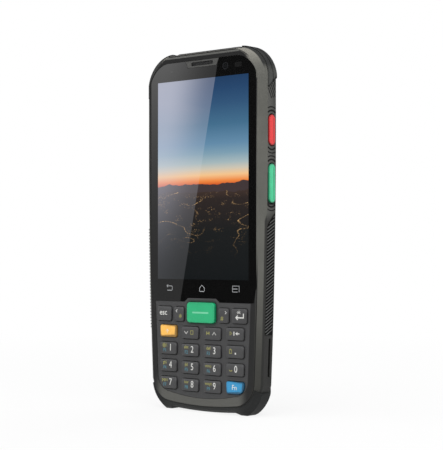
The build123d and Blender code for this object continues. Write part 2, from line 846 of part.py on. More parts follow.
def make_rear_housing(body, bumper_cuts):
    shell = body & between(belt_end, case_depth)
    upper = rounded_block(0, (upper_cavity_base_z + upper_cavity_top_z) / 2, 2 * upper_cavity_half_width,
                          upper_cavity_top_z - upper_cavity_base_z, upper_cavity_corner, belt_end, back_inner)
    lower = rounded_block(0, (lower_cavity_base_z + lower_cavity_top_z) / 2, 2 * lower_cavity_half_width,
                          lower_cavity_top_z - lower_cavity_base_z, cover_corner, belt_end, back_inner)
    shell = shell - upper - lower
    for cut in bumper_cuts:
        shell -= cut
    for x, z in screw_places:
        for side in (-1, 1):
            post = peg(side * x, z, screw_head_radius + running_gap + boss_wall, belt_end, back_inner)
            shell += post
    for x, z in screw_places:
        for side in (-1, 1):
            shell -= peg(side * x, z, screw_head_radius + running_gap, belt_end + screw_floor, case_depth)
            shell -= peg(side * x, z, screw_radius + running_gap, belt_end, belt_end + screw_floor)
    cover_z = (cover_base_z + cover_top_z) / 2
    cover_height = cover_top_z - cover_base_z
    shell -= rounded_block(0, cover_z, 2 * (cover_half_width + loose_gap), cover_height + 2 * loose_gap,
                           cover_corner + loose_gap, cover_front, case_depth)
    shell -= rounded_block(0, (bay_base_z + bay_top_z) / 2, 2 * bay_half_width, bay_top_z - bay_base_z,
                           bay_corner, bay_front, cover_front)
    hook_top = cover_top_z + hook_reach + 2 * loose_gap
    for side in (-1, 1):
        half = hook_width / 2 + loose_gap
        shell -= block((side * hook_x - half, side * hook_x + half), (bay_top_z, hook_top),
                       (cover_front - hook_pocket, cover_front))
    shell -= bezel_seat()
    path = scan_opening_width / 2
    shell -= block((-path, path), (upper_cavity_top_z, bezel_base_z),
                   (engine_middle - scan_opening_depth / 2, engine_middle + scan_opening_depth / 2))
    shell -= contact_block(running_gap)
    for row in range(grille_rows):
        z = camera_z + (row - (grille_rows - 1) / 2) * grille_pitch
        slot = Pos(loudspeaker_x, z) * SlotOverall(grille_length, grille_slot)
        shell -= slab(slot, back_inner, case_depth)
    shell -= camera_window_block(seat_gap)
    shell -= peg(rear_camera_x, camera_z, rear_camera_radius + running_gap, back_inner, camera_window_front)
    shell -= peg(flash_x, camera_z, flash_radius + running_gap, back_inner, camera_window_front)
    mouth = usb_width / 2 + loose_gap
    shell -= block((-mouth, mouth), (0, panel_base_z + usb_length), (usb_front, usb_back + thread_gap))
    notch = Pos(0, cover_base_z - loose_gap) * Ellipse(nail_notch_width / 2, nail_notch_height)
    return shell - slab(notch, case_depth - nail_notch_depth, case_depth)


# ---- back and inside --------------------------------------------------------------------------
def make_battery_cover():
    cover_z = (cover_base_z + cover_top_z) / 2
    cover = rounded_block(0, cover_z, 2 * cover_half_width, cover_top_z - cover_base_z, cover_corner,
                          cover_front, case_depth)
    for side in (-1, 1):
        reach = (side * hook_x - hook_width / 2, side * hook_x + hook_width / 2)
        cover += block(reach, (cover_top_z - hook_root, cover_top_z),
                       (cover_front - loose_gap - hook_thickness, cover_front))
        cover += block(reach, (cover_top_z - hook_root, cover_top_z + hook_reach),
                       (cover_front - loose_gap - hook_thickness, cover_front - loose_gap))
    return cover


def make_battery_pack():
    height = bay_top_z - bay_base_z - 2 * loose_gap
    return rounded_block(0, (bay_base_z + bay_top_z) / 2, 2 * (bay_half_width - loose_gap), height,
                         bay_corner, battery_front, cover_front - loose_gap)


def contact_block(grow):
    return centred_block(0, contact_z, contact_width + 2 * grow, contact_height + 2 * grow,
                         main_board_back, battery_front)


def make_inner_chassis():
    plate = slab(rim_outline(-side_wall - loose_gap), lcd_back, chassis_back)
    for x, z in screw_places:
        for side in (-1, 1):
            plate += peg(side * x, z, standoff_radius, chassis_back, belt_end)
            plate -= peg(side * x, z, screw_radius + thread_gap, lcd_back, belt_end)
    return plate


def make_main_board():
    board = slab(rim_outline(-side_wall - 2 * loose_gap), main_board_front, main_board_back)
    half = switch_strip_x - loose_gap
    board &= block((-half, half), (main_board_base_z, top_z), (0, case_depth))
    for x, z in screw_places:
        for side in (-1, 1):
            board -= peg(side * x, z, standoff_radius + loose_gap, main_board_front, main_board_back)
    return board


def make_shield_cans():
    lower = rounded_block(0, can_low_z, can_width, can_low_height, key_radius, main_board_back,
                          main_board_back + can_height)
    upper = rounded_block(can_up_x, can_up_z, can_up_width, can_up_height, key_radius, main_board_back,
                          main_board_back + can_height)
    return Compound(children=[*lower.solids(), *upper.solids()])


def make_scan_engine():
    box = block((-engine_width / 2, engine_width / 2), (engine_top_z - engine_height, engine_top_z),
                (engine_front, engine_front + engine_depth))
    place = Pos(engine_eye_x, front_y + engine_middle, engine_top_z)
    eye = place * Cylinder(engine_eye_radius, 2 * engine_eye_cut)
    return box - eye - (Pos(-2 * engine_eye_x, 0, 0) * eye)


def make_scan_bezel():
    near = front_y + bezel_front
    far = front_y + bezel_back
    flat = Pos(0, (near + far) / 2) * RectangleRounded(2 * bezel_half_width, far - near, bezel_corner)
    cap = extrude(Plane.XY.offset(bezel_base_z) * flat, amount=bezel_thickness)
    back_edge = cap.edges().filter_by(Axis.X).group_by(Axis.Z)[-1].sort_by(Axis.Y)[-1]
    cap = chamfer(back_edge, bezel_chamfer)
    middle = Pos(0, front_y + engine_middle)
    opening = middle * Rectangle(scan_opening_width, scan_opening_depth)
    hole = extrude(Plane.XY.offset(bezel_base_z) * opening, amount=bezel_thickness)
    seat = extrude(Plane.XY.offset(bezel_top_z - window_sink - scan_window_thickness)
                   * (middle * window_face(seat_gap)), amount=bezel_thickness)
    return cap - hole - seat


def window_face(grow):
    ledge = 2 * (window_ledge + grow)
    return RectangleRounded(scan_opening_width + ledge, scan_opening_depth + ledge, window_ledge)


def make_scan_window():
    plane = Plane.XY.offset(bezel_top_z - window_sink - scan_window_thickness)
    return extrude(plane * (Pos(0, front_y + engine_middle) * window_face(0)), amount=scan_window_thickness)


def make_rear_camera():
    base = centred_block(rear_camera_x, camera_z, rear_camera_size, rear_camera_size,
                         back_inner - rear_camera_height, back_inner)
    barrel = peg(rear_camera_x, camera_z, rear_camera_radius, back_inner, camera_window_front - seat_gap)
    return base + barrel


def make_flash_led():
    base = centred_block(flash_x, camera_z, 2 * flash_radius + 1, 2 * flash_radius + 1,
                         back_inner - flash_height, back_inner)
    return base + peg(flash_x, camera_z, flash_radius, back_inner, camera_window_front - seat_gap)


def camera_window_block(grow):
    width = camera_window_width + 2 * grow
    height = camera_window_height + 2 * grow
    return rounded_block(camera_window_x, camera_z, width, height, camera_window_corner,
                         camera_window_front, case_depth)


def make_loudspeaker():
    return rounded_block(loudspeaker_x, camera_z, loudspeaker_width, loudspeaker_height, key_radius,
                         back_inner - loudspeaker_depth, back_inner)


def make_vibration_motor():
    return peg(-motor_x, motor_z, motor_radius, main_board_back, main_board_back + motor_thickness)


def make_case_screws():
    screws = []
    for x, z in screw_places:
        for side in (-1, 1):
            head_front = belt_end + screw_floor
            head = peg(side * x, z, screw_head_radius, head_front, head_front + screw_head_height)
            shank = peg(side * x, z, screw_radius, chassis_back, head_front)
            drive = slab(Pos(side * x, z) * RegularPolygon(screw_drive_radius, 6),
                         head_front + screw_head_height / 2, head_front + screw_head_height)
            screws.append((head + shank - drive).solid())
    return Compound(children=screws)


def make_usb_board():
    half = usb_board_width / 2
    low = usb_mouth_z + usb_board_setback
    return block((-half, half), (low, low + usb_board_height), (chassis_back + seat_gap, usb_front))


def make_usb_connector():
    middle = usb_front + usb_thickness / 2
    shell = block((-usb_width / 2, usb_width / 2), (usb_mouth_z, usb_mouth_z + usb_length),
                  (usb_front, usb_back))
    mouth = Pos(0, front_y + middle) * SlotOverall(usb_mouth_width, usb_mouth_height)
    shell -= extrude(Plane.XY.offset(usb_mouth_z) * mouth, amount=usb_length - usb_end_wall)
    tongue = Pos(0, front_y + middle) * Rectangle(usb_tongue_width, usb_tongue_thickness)
    tongue_plane = Plane.XY.offset(usb_mouth_z + usb_end_wall)
    return shell + extrude(tongue_plane * tongue, amount=usb_length - usb_end_wall)


# ---- the whole terminal -------------------------------------------------------------------------
def make_parts():
    body = body_solid()
    bumper_body = body_solid(bumper_proud)
    core = body_solid(-bumper_inlay)
    grip_body = body_solid(grip_proud)
    grip_core = slab(belt_outline(-grip_inlay), 0, belt_end)
    rim_core = slab(rim_outline(), 0, belt_end)
    back_core = core & between(belt_end, case_depth)
    layout = key_layout()

    top_cut = top_bumper_zone() - core
    base_cut = base_bumper_zone() - rim_core - back_core
    grip_cut = grip_zone() - grip_core
    side_cuts = []
    for z, length in ((upper_side_key_z, upper_side_key_length), (lower_side_key_z, lower_side_key_length)):
        cut = side_key_cut(z, length)
        side_cuts += [cut, other_side(cut)]
    bumper_cuts = [top_cut, other_side(top_cut), base_cut]
    grip_cuts = [grip_cut, other_side(grip_cut)]
    right_bumper = make_top_bumper(bumper_body, core)
    right_grip = (grip_body & grip_zone()) - grip_core

    parts = {
        "front_housing": make_front_housing(body, layout, bumper_cuts + grip_cuts, side_cuts),
        "rear_housing": make_rear_housing(body, bumper_cuts),
        "display_glass": make_display_glass(),
        "lcd_module": make_lcd_module(),
        "earpiece_grille": make_earpiece_grille(),
        "earpiece_speaker": make_earpiece_speaker(),
        "front_camera": make_front_camera(),
        "sensor_board": make_sensor_board(),
        "keypad_frame": make_keypad_frame(layout),
        "keypad_membrane": make_keypad_membrane(),
        "keypad_board": make_keypad_board(),
        "inner_chassis": make_inner_chassis(),
        "main_board": make_main_board(),
        "shield_cans": make_shield_cans(),
        "scan_engine": make_scan_engine(),
        "scan_bezel": make_scan_bezel(),
        "scan_window": make_scan_window(),
        "rear_camera": make_rear_camera(),
        "flash_led": make_flash_led(),
        "camera_window": camera_window_block(0),
        "loudspeaker": make_loudspeaker(),
        "vibration_motor": make_vibration_motor(),
        "battery_pack": make_battery_pack(),
        "battery_contacts": contact_block(0),
        "battery_cover": make_battery_cover(),
        "case_screws": make_case_screws(),
        "usb_board": make_usb_board(),
        "usb_connector": make_usb_connector(),
        "side_switches": make_side_switches(),
        "red_side_key": make_side_key(upper_side_key_z, upper_side_key_length, 0),
        "green_side_key": make_side_key(lower_side_key_z, lower_side_key_length, 0),
        "volume_key": other_side(make_side_key(upper_side_key_z, upper_side_key_length, rocker_gap)),
        "left_scan_key": other_side(make_side_key(lower_side_key_z, lower_side_key_length, 0)),
        "top_right_bumper": right_bumper,
        "top_left_bumper": other_side(right_bumper),
        "base_bumper": make_base_bumper(rim_core, back_core),
        "right_grip": right_grip,
        "left_grip": other_side(right_grip),
    }
    for name, x, z, face, proud in layout:
        parts[name] = make_key(x, z, face, proud)
    return parts


for part_name, part_shape in make_parts().items():
    export_step(part_shape, "parts/" + part_name + ".step")
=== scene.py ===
import json
import math

import bmesh
import bpy
from mathutils import Matrix, Vector
from mathutils.bvhtree import BVHTree


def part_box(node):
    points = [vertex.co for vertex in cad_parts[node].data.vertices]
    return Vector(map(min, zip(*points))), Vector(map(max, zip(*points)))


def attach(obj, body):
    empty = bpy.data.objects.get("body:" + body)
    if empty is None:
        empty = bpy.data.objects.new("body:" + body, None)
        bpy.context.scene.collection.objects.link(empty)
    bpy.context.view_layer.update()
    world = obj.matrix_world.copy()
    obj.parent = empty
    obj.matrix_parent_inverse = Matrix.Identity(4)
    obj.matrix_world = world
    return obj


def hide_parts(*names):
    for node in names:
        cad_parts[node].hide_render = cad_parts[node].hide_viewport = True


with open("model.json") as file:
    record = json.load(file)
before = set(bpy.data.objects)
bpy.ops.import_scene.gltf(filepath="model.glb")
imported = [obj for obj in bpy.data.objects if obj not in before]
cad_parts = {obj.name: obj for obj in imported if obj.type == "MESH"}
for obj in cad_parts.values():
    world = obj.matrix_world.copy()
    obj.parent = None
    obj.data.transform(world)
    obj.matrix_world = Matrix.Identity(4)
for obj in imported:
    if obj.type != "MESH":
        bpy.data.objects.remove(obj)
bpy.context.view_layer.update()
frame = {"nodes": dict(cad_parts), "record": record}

# Rugged handheld data terminal, in metres: X right, Y into the case, Z up.
mm = 0.001
nodes = frame["nodes"]
caseBody = "case"
print("stage: frame loaded,", len(nodes), "solids")


def span(*values):  # given in millimetres
    return tuple(value * mm for value in values)


def middleOf(box):
    return (box[0] + box[1]) / 2


# Shader maths
def linear(level):  # one screen level, 0 to 255, as light
    share = level / 255
    return share / 12.92 if share <= 0.04045 else ((share + 0.055) / 1.055) ** 2.4


def tone(red, green, blue):
    return (linear(red), linear(green), linear(blue), 1.0)


def grey(level):
    return tone(level, level, level)


def shaded(colour, factor):
    return (colour[0] * factor, colour[1] * factor, colour[2] * factor, 1.0)


class Link:  # an output socket; Python's operators add Math nodes
    def __init__(self, owner, socket):
        self.owner = owner
        self.socket = socket

    def maths(self, operation, *others):
        return self.owner.add("ShaderNodeMath", {"operation": operation}, self, *others)

    def __add__(self, other):
        return self.maths("ADD", other)

    def __sub__(self, other):
        return self.maths("SUBTRACT", other)

    def __rsub__(self, other):
        return self.owner.add("ShaderNodeMath", {"operation": "SUBTRACT"}, other, self)

    def __mul__(self, other):
        return self.maths("MULTIPLY", other)

    def __truediv__(self, other):
        return self.maths("DIVIDE", other)

    def __gt__(self, other):
        return self.maths("GREATER_THAN", other)

    def __lt__(self, other):
        return self.maths("LESS_THAN", other)

    def __abs__(self):
        return self.maths("ABSOLUTE")

    __radd__ = __add__
    __rmul__ = __mul__


class Tree:  # the node tree of a material or a world, emptied
    def __init__(self, owner):
        owner.use_nodes = True
        self.tree = owner.node_tree
        self.tree.nodes.clear()

    def put(self, socket, value):
        if isinstance(value, Link):
            self.tree.links.new(value.socket, socket)
        else:
            socket.default_value = value

    def add(self, kind, settings, *values, out=0, **named):
        node = self.tree.nodes.new(kind)
        for key, value in settings.items():
            setattr(node, key, value)
        for index, value in enumerate(values):
            self.put(node.inputs[index], value)
        for key, value in named.items():
            self.put(node.inputs[key], value)
        return Link(self, node.outputs[out]) if node.outputs else None

    def rays(self, *kinds):  # 1 for the given kinds of ray
        total = self.add("ShaderNodeLightPath", {}, out=kinds[0])
        for kind in kinds[1:]:
            total = total.maths("MAXIMUM", self.add("ShaderNodeLightPath", {}, out=kind))
        return total


class Finish(Tree):  # one material round a Principled shader
    def __init__(self, name, base=None, **shaderValues):
        self.material = bpy.data.materials.new(name)
        super().__init__(self.material)
        self.base = base
        self.shader = self.tree.nodes.new("ShaderNodeBsdfPrincipled")
        self.add("ShaderNodeOutputMaterial", {}, Link(self, self.shader.outputs[0]))
        self.place = self.add("ShaderNodeTexCoord", {}, out="Object")
        for socketName, value in shaderValues.items():
            self.set(socketName, value)

    def set(self, socketName, value):  # "baseColor" means the shader's Base Color
        words = "".join(" " + letter if letter.isupper() else letter for letter in socketName)
        self.put(self.shader.inputs[words.title().replace("Ior", "IOR")], value)

    def axes(self):
        return [self.add("ShaderNodeSeparateXYZ", {}, self.place, out=axis) for axis in range(3)]

    def noise(self, size, detail=2.0, roughness=0.5, place=None):
        return self.add("ShaderNodeTexNoise", {}, Vector=place or self.place, Scale=1 / size,
                        Detail=detail, Roughness=roughness)

    def cells(self, size, place=None):
        return self.add("ShaderNodeTexVoronoi", {}, Vector=place or self.place, Scale=1 / size)

    def blend(self, factor, first, second):
        node = self.tree.nodes.new("ShaderNodeMix")
        node.data_type = "RGBA"
        for index, value in ((0, factor), (6, first), (7, second)):
            self.put(node.inputs[index], value)
        return Link(self, node.outputs[2])

    def paint(self, factor, colour):  # lays a colour over the base colour
        self.base = self.blend(factor, self.base, colour)
        self.set("baseColor", self.base)

    def ramp(self, factor, stops):
        node = self.tree.nodes.new("ShaderNodeValToRGB")
        marks = node.color_ramp.elements
        marks.remove(marks[1])
        marks[0].position, marks[0].color = stops[0]
        for position, colour in stops[1:]:
            marks.new(position).color = colour
        self.put(node.inputs[0], factor)
        return Link(self, node.outputs[0])

    def fit(self, value, low, high, toLow=0.0, toHigh=1.0):
        settings = {"interpolation_type": "SMOOTHSTEP"}
        return self.add("ShaderNodeMapRange", settings, value, low, high, toLow, toHigh)

    def band(self, value, middle, half, soft):  # 1 inside a stretch of one axis, 0 outside it
        return self.fit(abs(value - middle), half, half + soft, 1.0, 0.0)

    def spot(self, x, z, atX, atZ):  # distance from a point on the front
        across = x - atX
        up = z - atZ
        return (across * across + up * up).maths("SQRT")

    def stretched(self, x, y, z):
        return self.add("ShaderNodeVectorMath", {"operation": "MULTIPLY"}, self.place, (x, y, z))

    def bump(self, height, depth, normal=None):
        turned = {"Normal": normal} if normal else {}
        return self.add("ShaderNodeBump", {}, Height=height, Distance=depth, **turned)

    def within(self, nodeName, across, along, corner):  # distance inwards from a box's rounded outline
        low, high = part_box(nodeName)
        squares = 0.0
        for axis in (across, along):
            half = (high[axis] - low[axis]) / 2 - corner
            beyond = (abs(self.axes()[axis] - (low[axis] + high[axis]) / 2) - half).maths("MAXIMUM", 0.0)
            squares = beyond * beyond + squares
        return corner - squares.maths("SQRT")

    def softEdge(self, radius):
        return self.add("ShaderNodeBevel", {"samples": 4}, radius)

    def nearEdge(self, radius, low=0.004, high=0.12):  # 1 close to a sharp edge, 0 on open faces
        facing = self.add("ShaderNodeNewGeometry", {}, out="Normal")
        along = self.add("ShaderNodeVectorMath", {"operation": "DOT_PRODUCT"}, self.softEdge(radius), facing,
                         out="Value")
        return self.fit(1 - along, low, high)


# Finishes. A pair of values is where a change starts and ends; three are a band's middle, half and soft edge.
mouldedLook = {
    "roughness": 0.52, "roughShift": 0.16, "grain": 0.3 * mm, "grainDepth": 0.012 * mm,
    "patch": 11 * mm, "patchRange": (0.34, 0.66), "shift": 0.10,
    "rubSize": 3, "rubRange": (0.62, 0.74), "rubGain": 1.8, "speck": 0.10, "edge": 0.28 * mm,
}


def moulded(name, colour, change=None, **shaderValues):  # spark-grained plastic
    look = dict(mouldedLook, **(change or {}))
    finish = Finish(name, shaded(colour, 1 - look["shift"]), **shaderValues)
    grain = finish.noise(look["grain"], 2.0, 0.6)
    slow = finish.fit(finish.noise(look["patch"], 3.0), *look["patchRange"])
    rubbed = finish.fit(finish.noise(look["grain"] * look["rubSize"], 1.0), *look["rubRange"])
    finish.paint(slow, shaded(colour, 1 + look["shift"]))
    finish.paint(rubbed * look["speck"], shaded(colour, look["rubGain"]))
    finish.set("roughness", look["roughness"] + (grain - 0.5) * look["roughShift"])
    normal = finish.softEdge(look["edge"]) if look["edge"] else None
    finish.set("normal", finish.bump(grain, look["grainDepth"], normal))
    return finish


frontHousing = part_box("front_housing")
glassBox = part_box("display_glass")
sideKeys = {"right": ("red_side_key", "green_side_key"), "left": ("volume_key", "left_scan_key")}
frontLook = {
    "colour": tone(91, 91, 86), "change": {"shift": 0.06}, "specular": 0.22, "soft": 0.05 * mm,
    "lowerShadeZ": span(14, 62), "lowerShadeLevel": 0.38,
    "highlightColour": tone(176, 172, 162), "highlightShare": 0.34, "highlightZ": span(145, 154),
    "leftShadeColour": tone(26, 27, 27), "leftShadeShare": 0.94, "leftShadeX": span(-25, -21.5), "leftShadeZ": span(126, 138),
    "bandColour": tone(38, 39, 39), "bandDepth": span(2.0, 2.25), "bandZ": span(144.5, 147.5),
    "sideLow": tone(36, 36, 35), "sideHigh": tone(80, 80, 77), "sideZ": span(81, 86),
    "sideDepth": 2.8 * mm, "sideEarly": 0.8 * mm, "sideFade": 0.3 * mm, "sideShare": 0.9,
    "rearColour": grey(20), "rearDepth": span(3.6, 8.0), "rearShare": 0.5,
    "rimColour": grey(30), "rimTop": grey(20), "rimZ": span(110, 146),
    "chinColour": tone(90, 90, 86), "chinX": span(-1.2, 21.3, 5.5), "chinZ": span(9, 17),
    "ridgeColour": tone(90, 90, 87), "ridgeDrop": 1.25 * mm, "ridgeHalf": 0.38 * mm, "ridgeX": 21 * mm,
    "paleAt": 28.26 * mm, "paleLean": 0.01357, "paleX": span(0.3, 0.9), "paleZ": span(52, 72),
    "turnX": span(24, 27), "turnZ": 141 * mm,
    "lineColour": grey(20), "lineDepth": 0.28 * mm, "lineHalf": 0.14 * mm,
    "seamColour": grey(16), "seamHalf": 0.10 * mm, "topDepth": 1.5 * mm, "topZ": span(147, 149),
    "moatColour": grey(10), "moatX": 33.92 * mm, "moat": 0.4 * mm, "gripLead": 5.2 * mm, "gripDepth": 2.9 * mm,
}


def makeFrontFinish(look=frontLook):
    finish = moulded("Front housing, matt grey", look["colour"], look["change"], specularIorLevel=look["specular"])
    x, y, z = finish.axes()
    depth = y - frontHousing[0].y
    soft = look["soft"]
    # painted shade: the housing darkens towards the bottom
    paintedShading = finish.fit(z, *look["lowerShadeZ"], look["lowerShadeLevel"], 1.0)
    finish.paint(1 - paintedShading, grey(0))
    # painted highlight: paler towards the top corners
    corner = finish.fit(z, *look["highlightZ"]) * look["highlightShare"]
    finish.paint(corner, look["highlightColour"])
    # painted shade on the upper left corner, where the light does not reach
    dark = finish.fit(x, *look["leftShadeX"], look["leftShadeShare"], 0.0) * finish.fit(z, *look["leftShadeZ"])
    finish.paint(dark, look["leftShadeColour"])
    # painted shade along the outer edge of the bevel at the top
    outer = finish.fit(depth, *look["bandDepth"]) * finish.fit(z, *look["bandZ"])
    finish.paint(outer, look["bandColour"])
    # painted shade on the sides: darker low down and towards the back
    height = finish.fit(z, *look["sideZ"])
    side = finish.fit(depth - look["sideDepth"] + (1 - height) * look["sideEarly"], 0.0, look["sideFade"])
    sideColour = finish.blend(height, look["sideLow"], look["sideHigh"])
    rear = finish.fit(depth, *look["rearDepth"], 0.0, look["rearShare"])
    sideColour = finish.blend(rear, sideColour, look["rearColour"])
    finish.paint(side * look["sideShare"], sideColour)
    # painted shade: the front face round the glass is darkened, more towards the top
    rim = finish.blend(finish.fit(z, *look["rimZ"]), look["rimColour"], look["rimTop"])
    chin = finish.fit(z, *look["chinZ"], 1.0, 0.0) * finish.band(x, *look["chinX"])
    rim = finish.blend(chin, rim, look["chinColour"])
    ridgeTop = frontHousing[1].z - look["ridgeDrop"]
    middle = abs(x) < look["ridgeX"]
    rim = finish.blend((z > ridgeTop) * middle, rim, look["seamColour"])
    ridge = finish.band(z, ridgeTop - look["ridgeHalf"], look["ridgeHalf"], soft)
    rim = finish.blend(ridge * middle, rim, look["ridgeColour"])
    pale = finish.fit(x - z * look["paleLean"] - look["paleAt"], *look["paleX"]) * finish.fit(z, *look["paleZ"])
    pale = pale.maths("MAXIMUM", finish.fit(x, *look["turnX"]) * (z > look["turnZ"]))
    rim = finish.blend(pale, rim, finish.base)
    finish.paint(depth < soft, rim)
    # painted shade in the groove between the front face and the bevel
    line = finish.band(depth, look["lineDepth"], look["lineHalf"], soft)
    finish.paint(line * (1 - pale), look["lineColour"])
    seam = finish.band(y, frontHousing[1].y, look["seamHalf"], soft)
    top = finish.fit(z, *look["topZ"]) * (depth > look["topDepth"]) * middle
    finish.paint(seam.maths("MAXIMUM", top), look["seamColour"])
    # painted shade in the gaps round the side keys
    moat = 0.0
    for keyName in sum(sideKeys.values(), ()):
        low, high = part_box(keyName)
        centre = (low + high) / 2
        near = finish.band(z, centre.z, (high.z - low.z) / 2 + look["moat"], soft)
        near = near * (x * math.copysign(1, centre.x) > 0)
        moat = near.maths("MAXIMUM", moat)
    moat = moat * finish.band(y, centre.y, (high.y - low.y) / 2 + look["moat"] / 2, soft)
    finish.paint(moat * (abs(x) < look["moatX"]), look["moatColour"])
    # painted shade in the gap beside the grip
    low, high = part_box("right_grip")
    gripTop = high.z - look["gripLead"]
    beside = finish.band(z, (low.z + gripTop) / 2, (gripTop - low.z) / 2, soft)
    beside = beside * (depth > look["gripDepth"]) * (y < low.y + soft)
    finish.paint(beside, look["moatColour"])
    return finish


rearLook = {"colour": tone(48, 49, 51), "change": {"roughness": 0.6, "grainDepth": 0.03 * mm, "grain": 0.42 * mm},
            "seamColour": grey(14), "seam": (frontHousing[1].y, 0.10 * mm, 0.05 * mm)}


def makeRearFinish(look=rearLook):
    finish = moulded("Rear housing, dark grey", look["colour"], look["change"])
    finish.paint(finish.band(finish.axes()[1], *look["seam"]), look["seamColour"])
    return finish


coverLook = {"colour": tone(44, 45, 47), "change": {"roughness": 0.62}, "stripe": 1.1 * mm,
             "stripeDepth": 0.05 * mm, "line": (0.5, 0.22, 0.1), "panelX": span(17.5, 18),
             "panelZ": span(68, 37, 0.5), "grainShare": 0.2, "hatchShare": 0.5, "hatchShade": 0.6}


def makeCoverFinish(look=coverLook):  # fine diagonal crosshatch, as moulded into the lid for grip
    finish = moulded("Battery cover, crosshatched", look["colour"], look["change"])
    x, y, z = finish.axes()
    hatch = 0.0
    for side in (-1, 1):
        wave = ((x + z * side) / look["stripe"]).maths("FRACT")
        hatch = finish.band(wave, *look["line"]).maths("MAXIMUM", hatch)
    hatch = hatch * finish.fit(abs(x), *look["panelX"], 1.0, 0.0) * finish.band(z, *look["panelZ"])
    height = hatch + finish.noise(mouldedLook["grain"]) * look["grainShare"]
    finish.set("normal", finish.bump(height, look["stripeDepth"], finish.softEdge(mouldedLook["edge"])))
    finish.paint(hatch * look["hatchShare"], shaded(look["colour"], look["hatchShade"]))
    return finish


screenLook = {
    "sideBorder": 1.9 * mm, "topBorder": 1.7 * mm, "footBorder": 5.2 * mm, "skin": 0.1 * mm, "black": grey(13),
    "sky": [(0.0, tone(210, 90, 36)), (0.035, tone(240, 138, 66)), (0.09, tone(244, 196, 140)),
            (0.145, tone(206, 197, 178)), (0.2, tone(166, 184, 187)), (0.29, tone(124, 158, 177)),
            (0.38, tone(98, 138, 168)), (0.56, tone(66, 109, 140)), (0.75, tone(48, 84, 120)),
            (0.9, tone(35, 68, 106)), (1.0, tone(30, 60, 96))],
    "haze": 30 * mm, "hazeStretch": (0.35, 0.0, 1.6), "hazeShare": 0.35, "hazeColour": tone(235, 205, 190),
    "ground": [(0.0, tone(15, 19, 21)), (0.5, tone(24, 26, 27)), (0.85, tone(44, 36, 34)),
               (1.0, tone(74, 56, 48))],
    "hills": tone(64, 53, 54), "horizon": 0.47, "farLength": 16 * mm, "farMiddle": 0.45, "farHeight": 0.084,
    "nearLength": 11.2 * mm, "nearDrop": 0.035, "nearHeight": 0.07,
    "valley": (1.0, 0.0, 2.6), "lights": tone(255, 206, 140), "lightPitch": 0.8 * mm, "lightSize": (0.10, 0.30),
    "districts": 9 * mm, "districtEdge": (0.52, 0.66), "roads": 30 * mm, "road": (0.5, 0.002, 0.006),
    "roadShare": 0.8, "travel": 13 * mm, "travelEdge": (0.44, 0.60), "sparkle": 0.8 * mm,
    "sparkleEdge": (0.42, 0.62), "lightFade": (0.10, 0.36),
    "glow": 1.0, "sheen": tone(203, 205, 221), "sheenHeight": (0.05, 0.56), "sheenEdge": 0.26,
    "sheenWidth": 26 * mm,
    "ring": tone(36, 37, 39), "ringBand": span(1.35, 0.14, 0.2), "lens": tone(24, 25, 27),
    "lensEdge": span(0.75, 0.95), "window": grey(28), "windowInset": 3 * mm, "windowHalfX": 1.9 * mm,
    "windowHalfZ": 1.0 * mm, "lampDot": grey(34), "lampInset": 2 * mm, "lampEdge": span(0.5, 0.65),
    "smear": 14 * mm, "smooth": 0.002, "smearShift": 0.012,
}
streak = {"edgeX": -1.5 * mm, "slope": 0.21, "pivotZ": 100 * mm}


def streakAt(z):  # where the slanted edge of the sheen crosses a height
    return (z - streak["pivotZ"]) * streak["slope"] + streak["edgeX"]


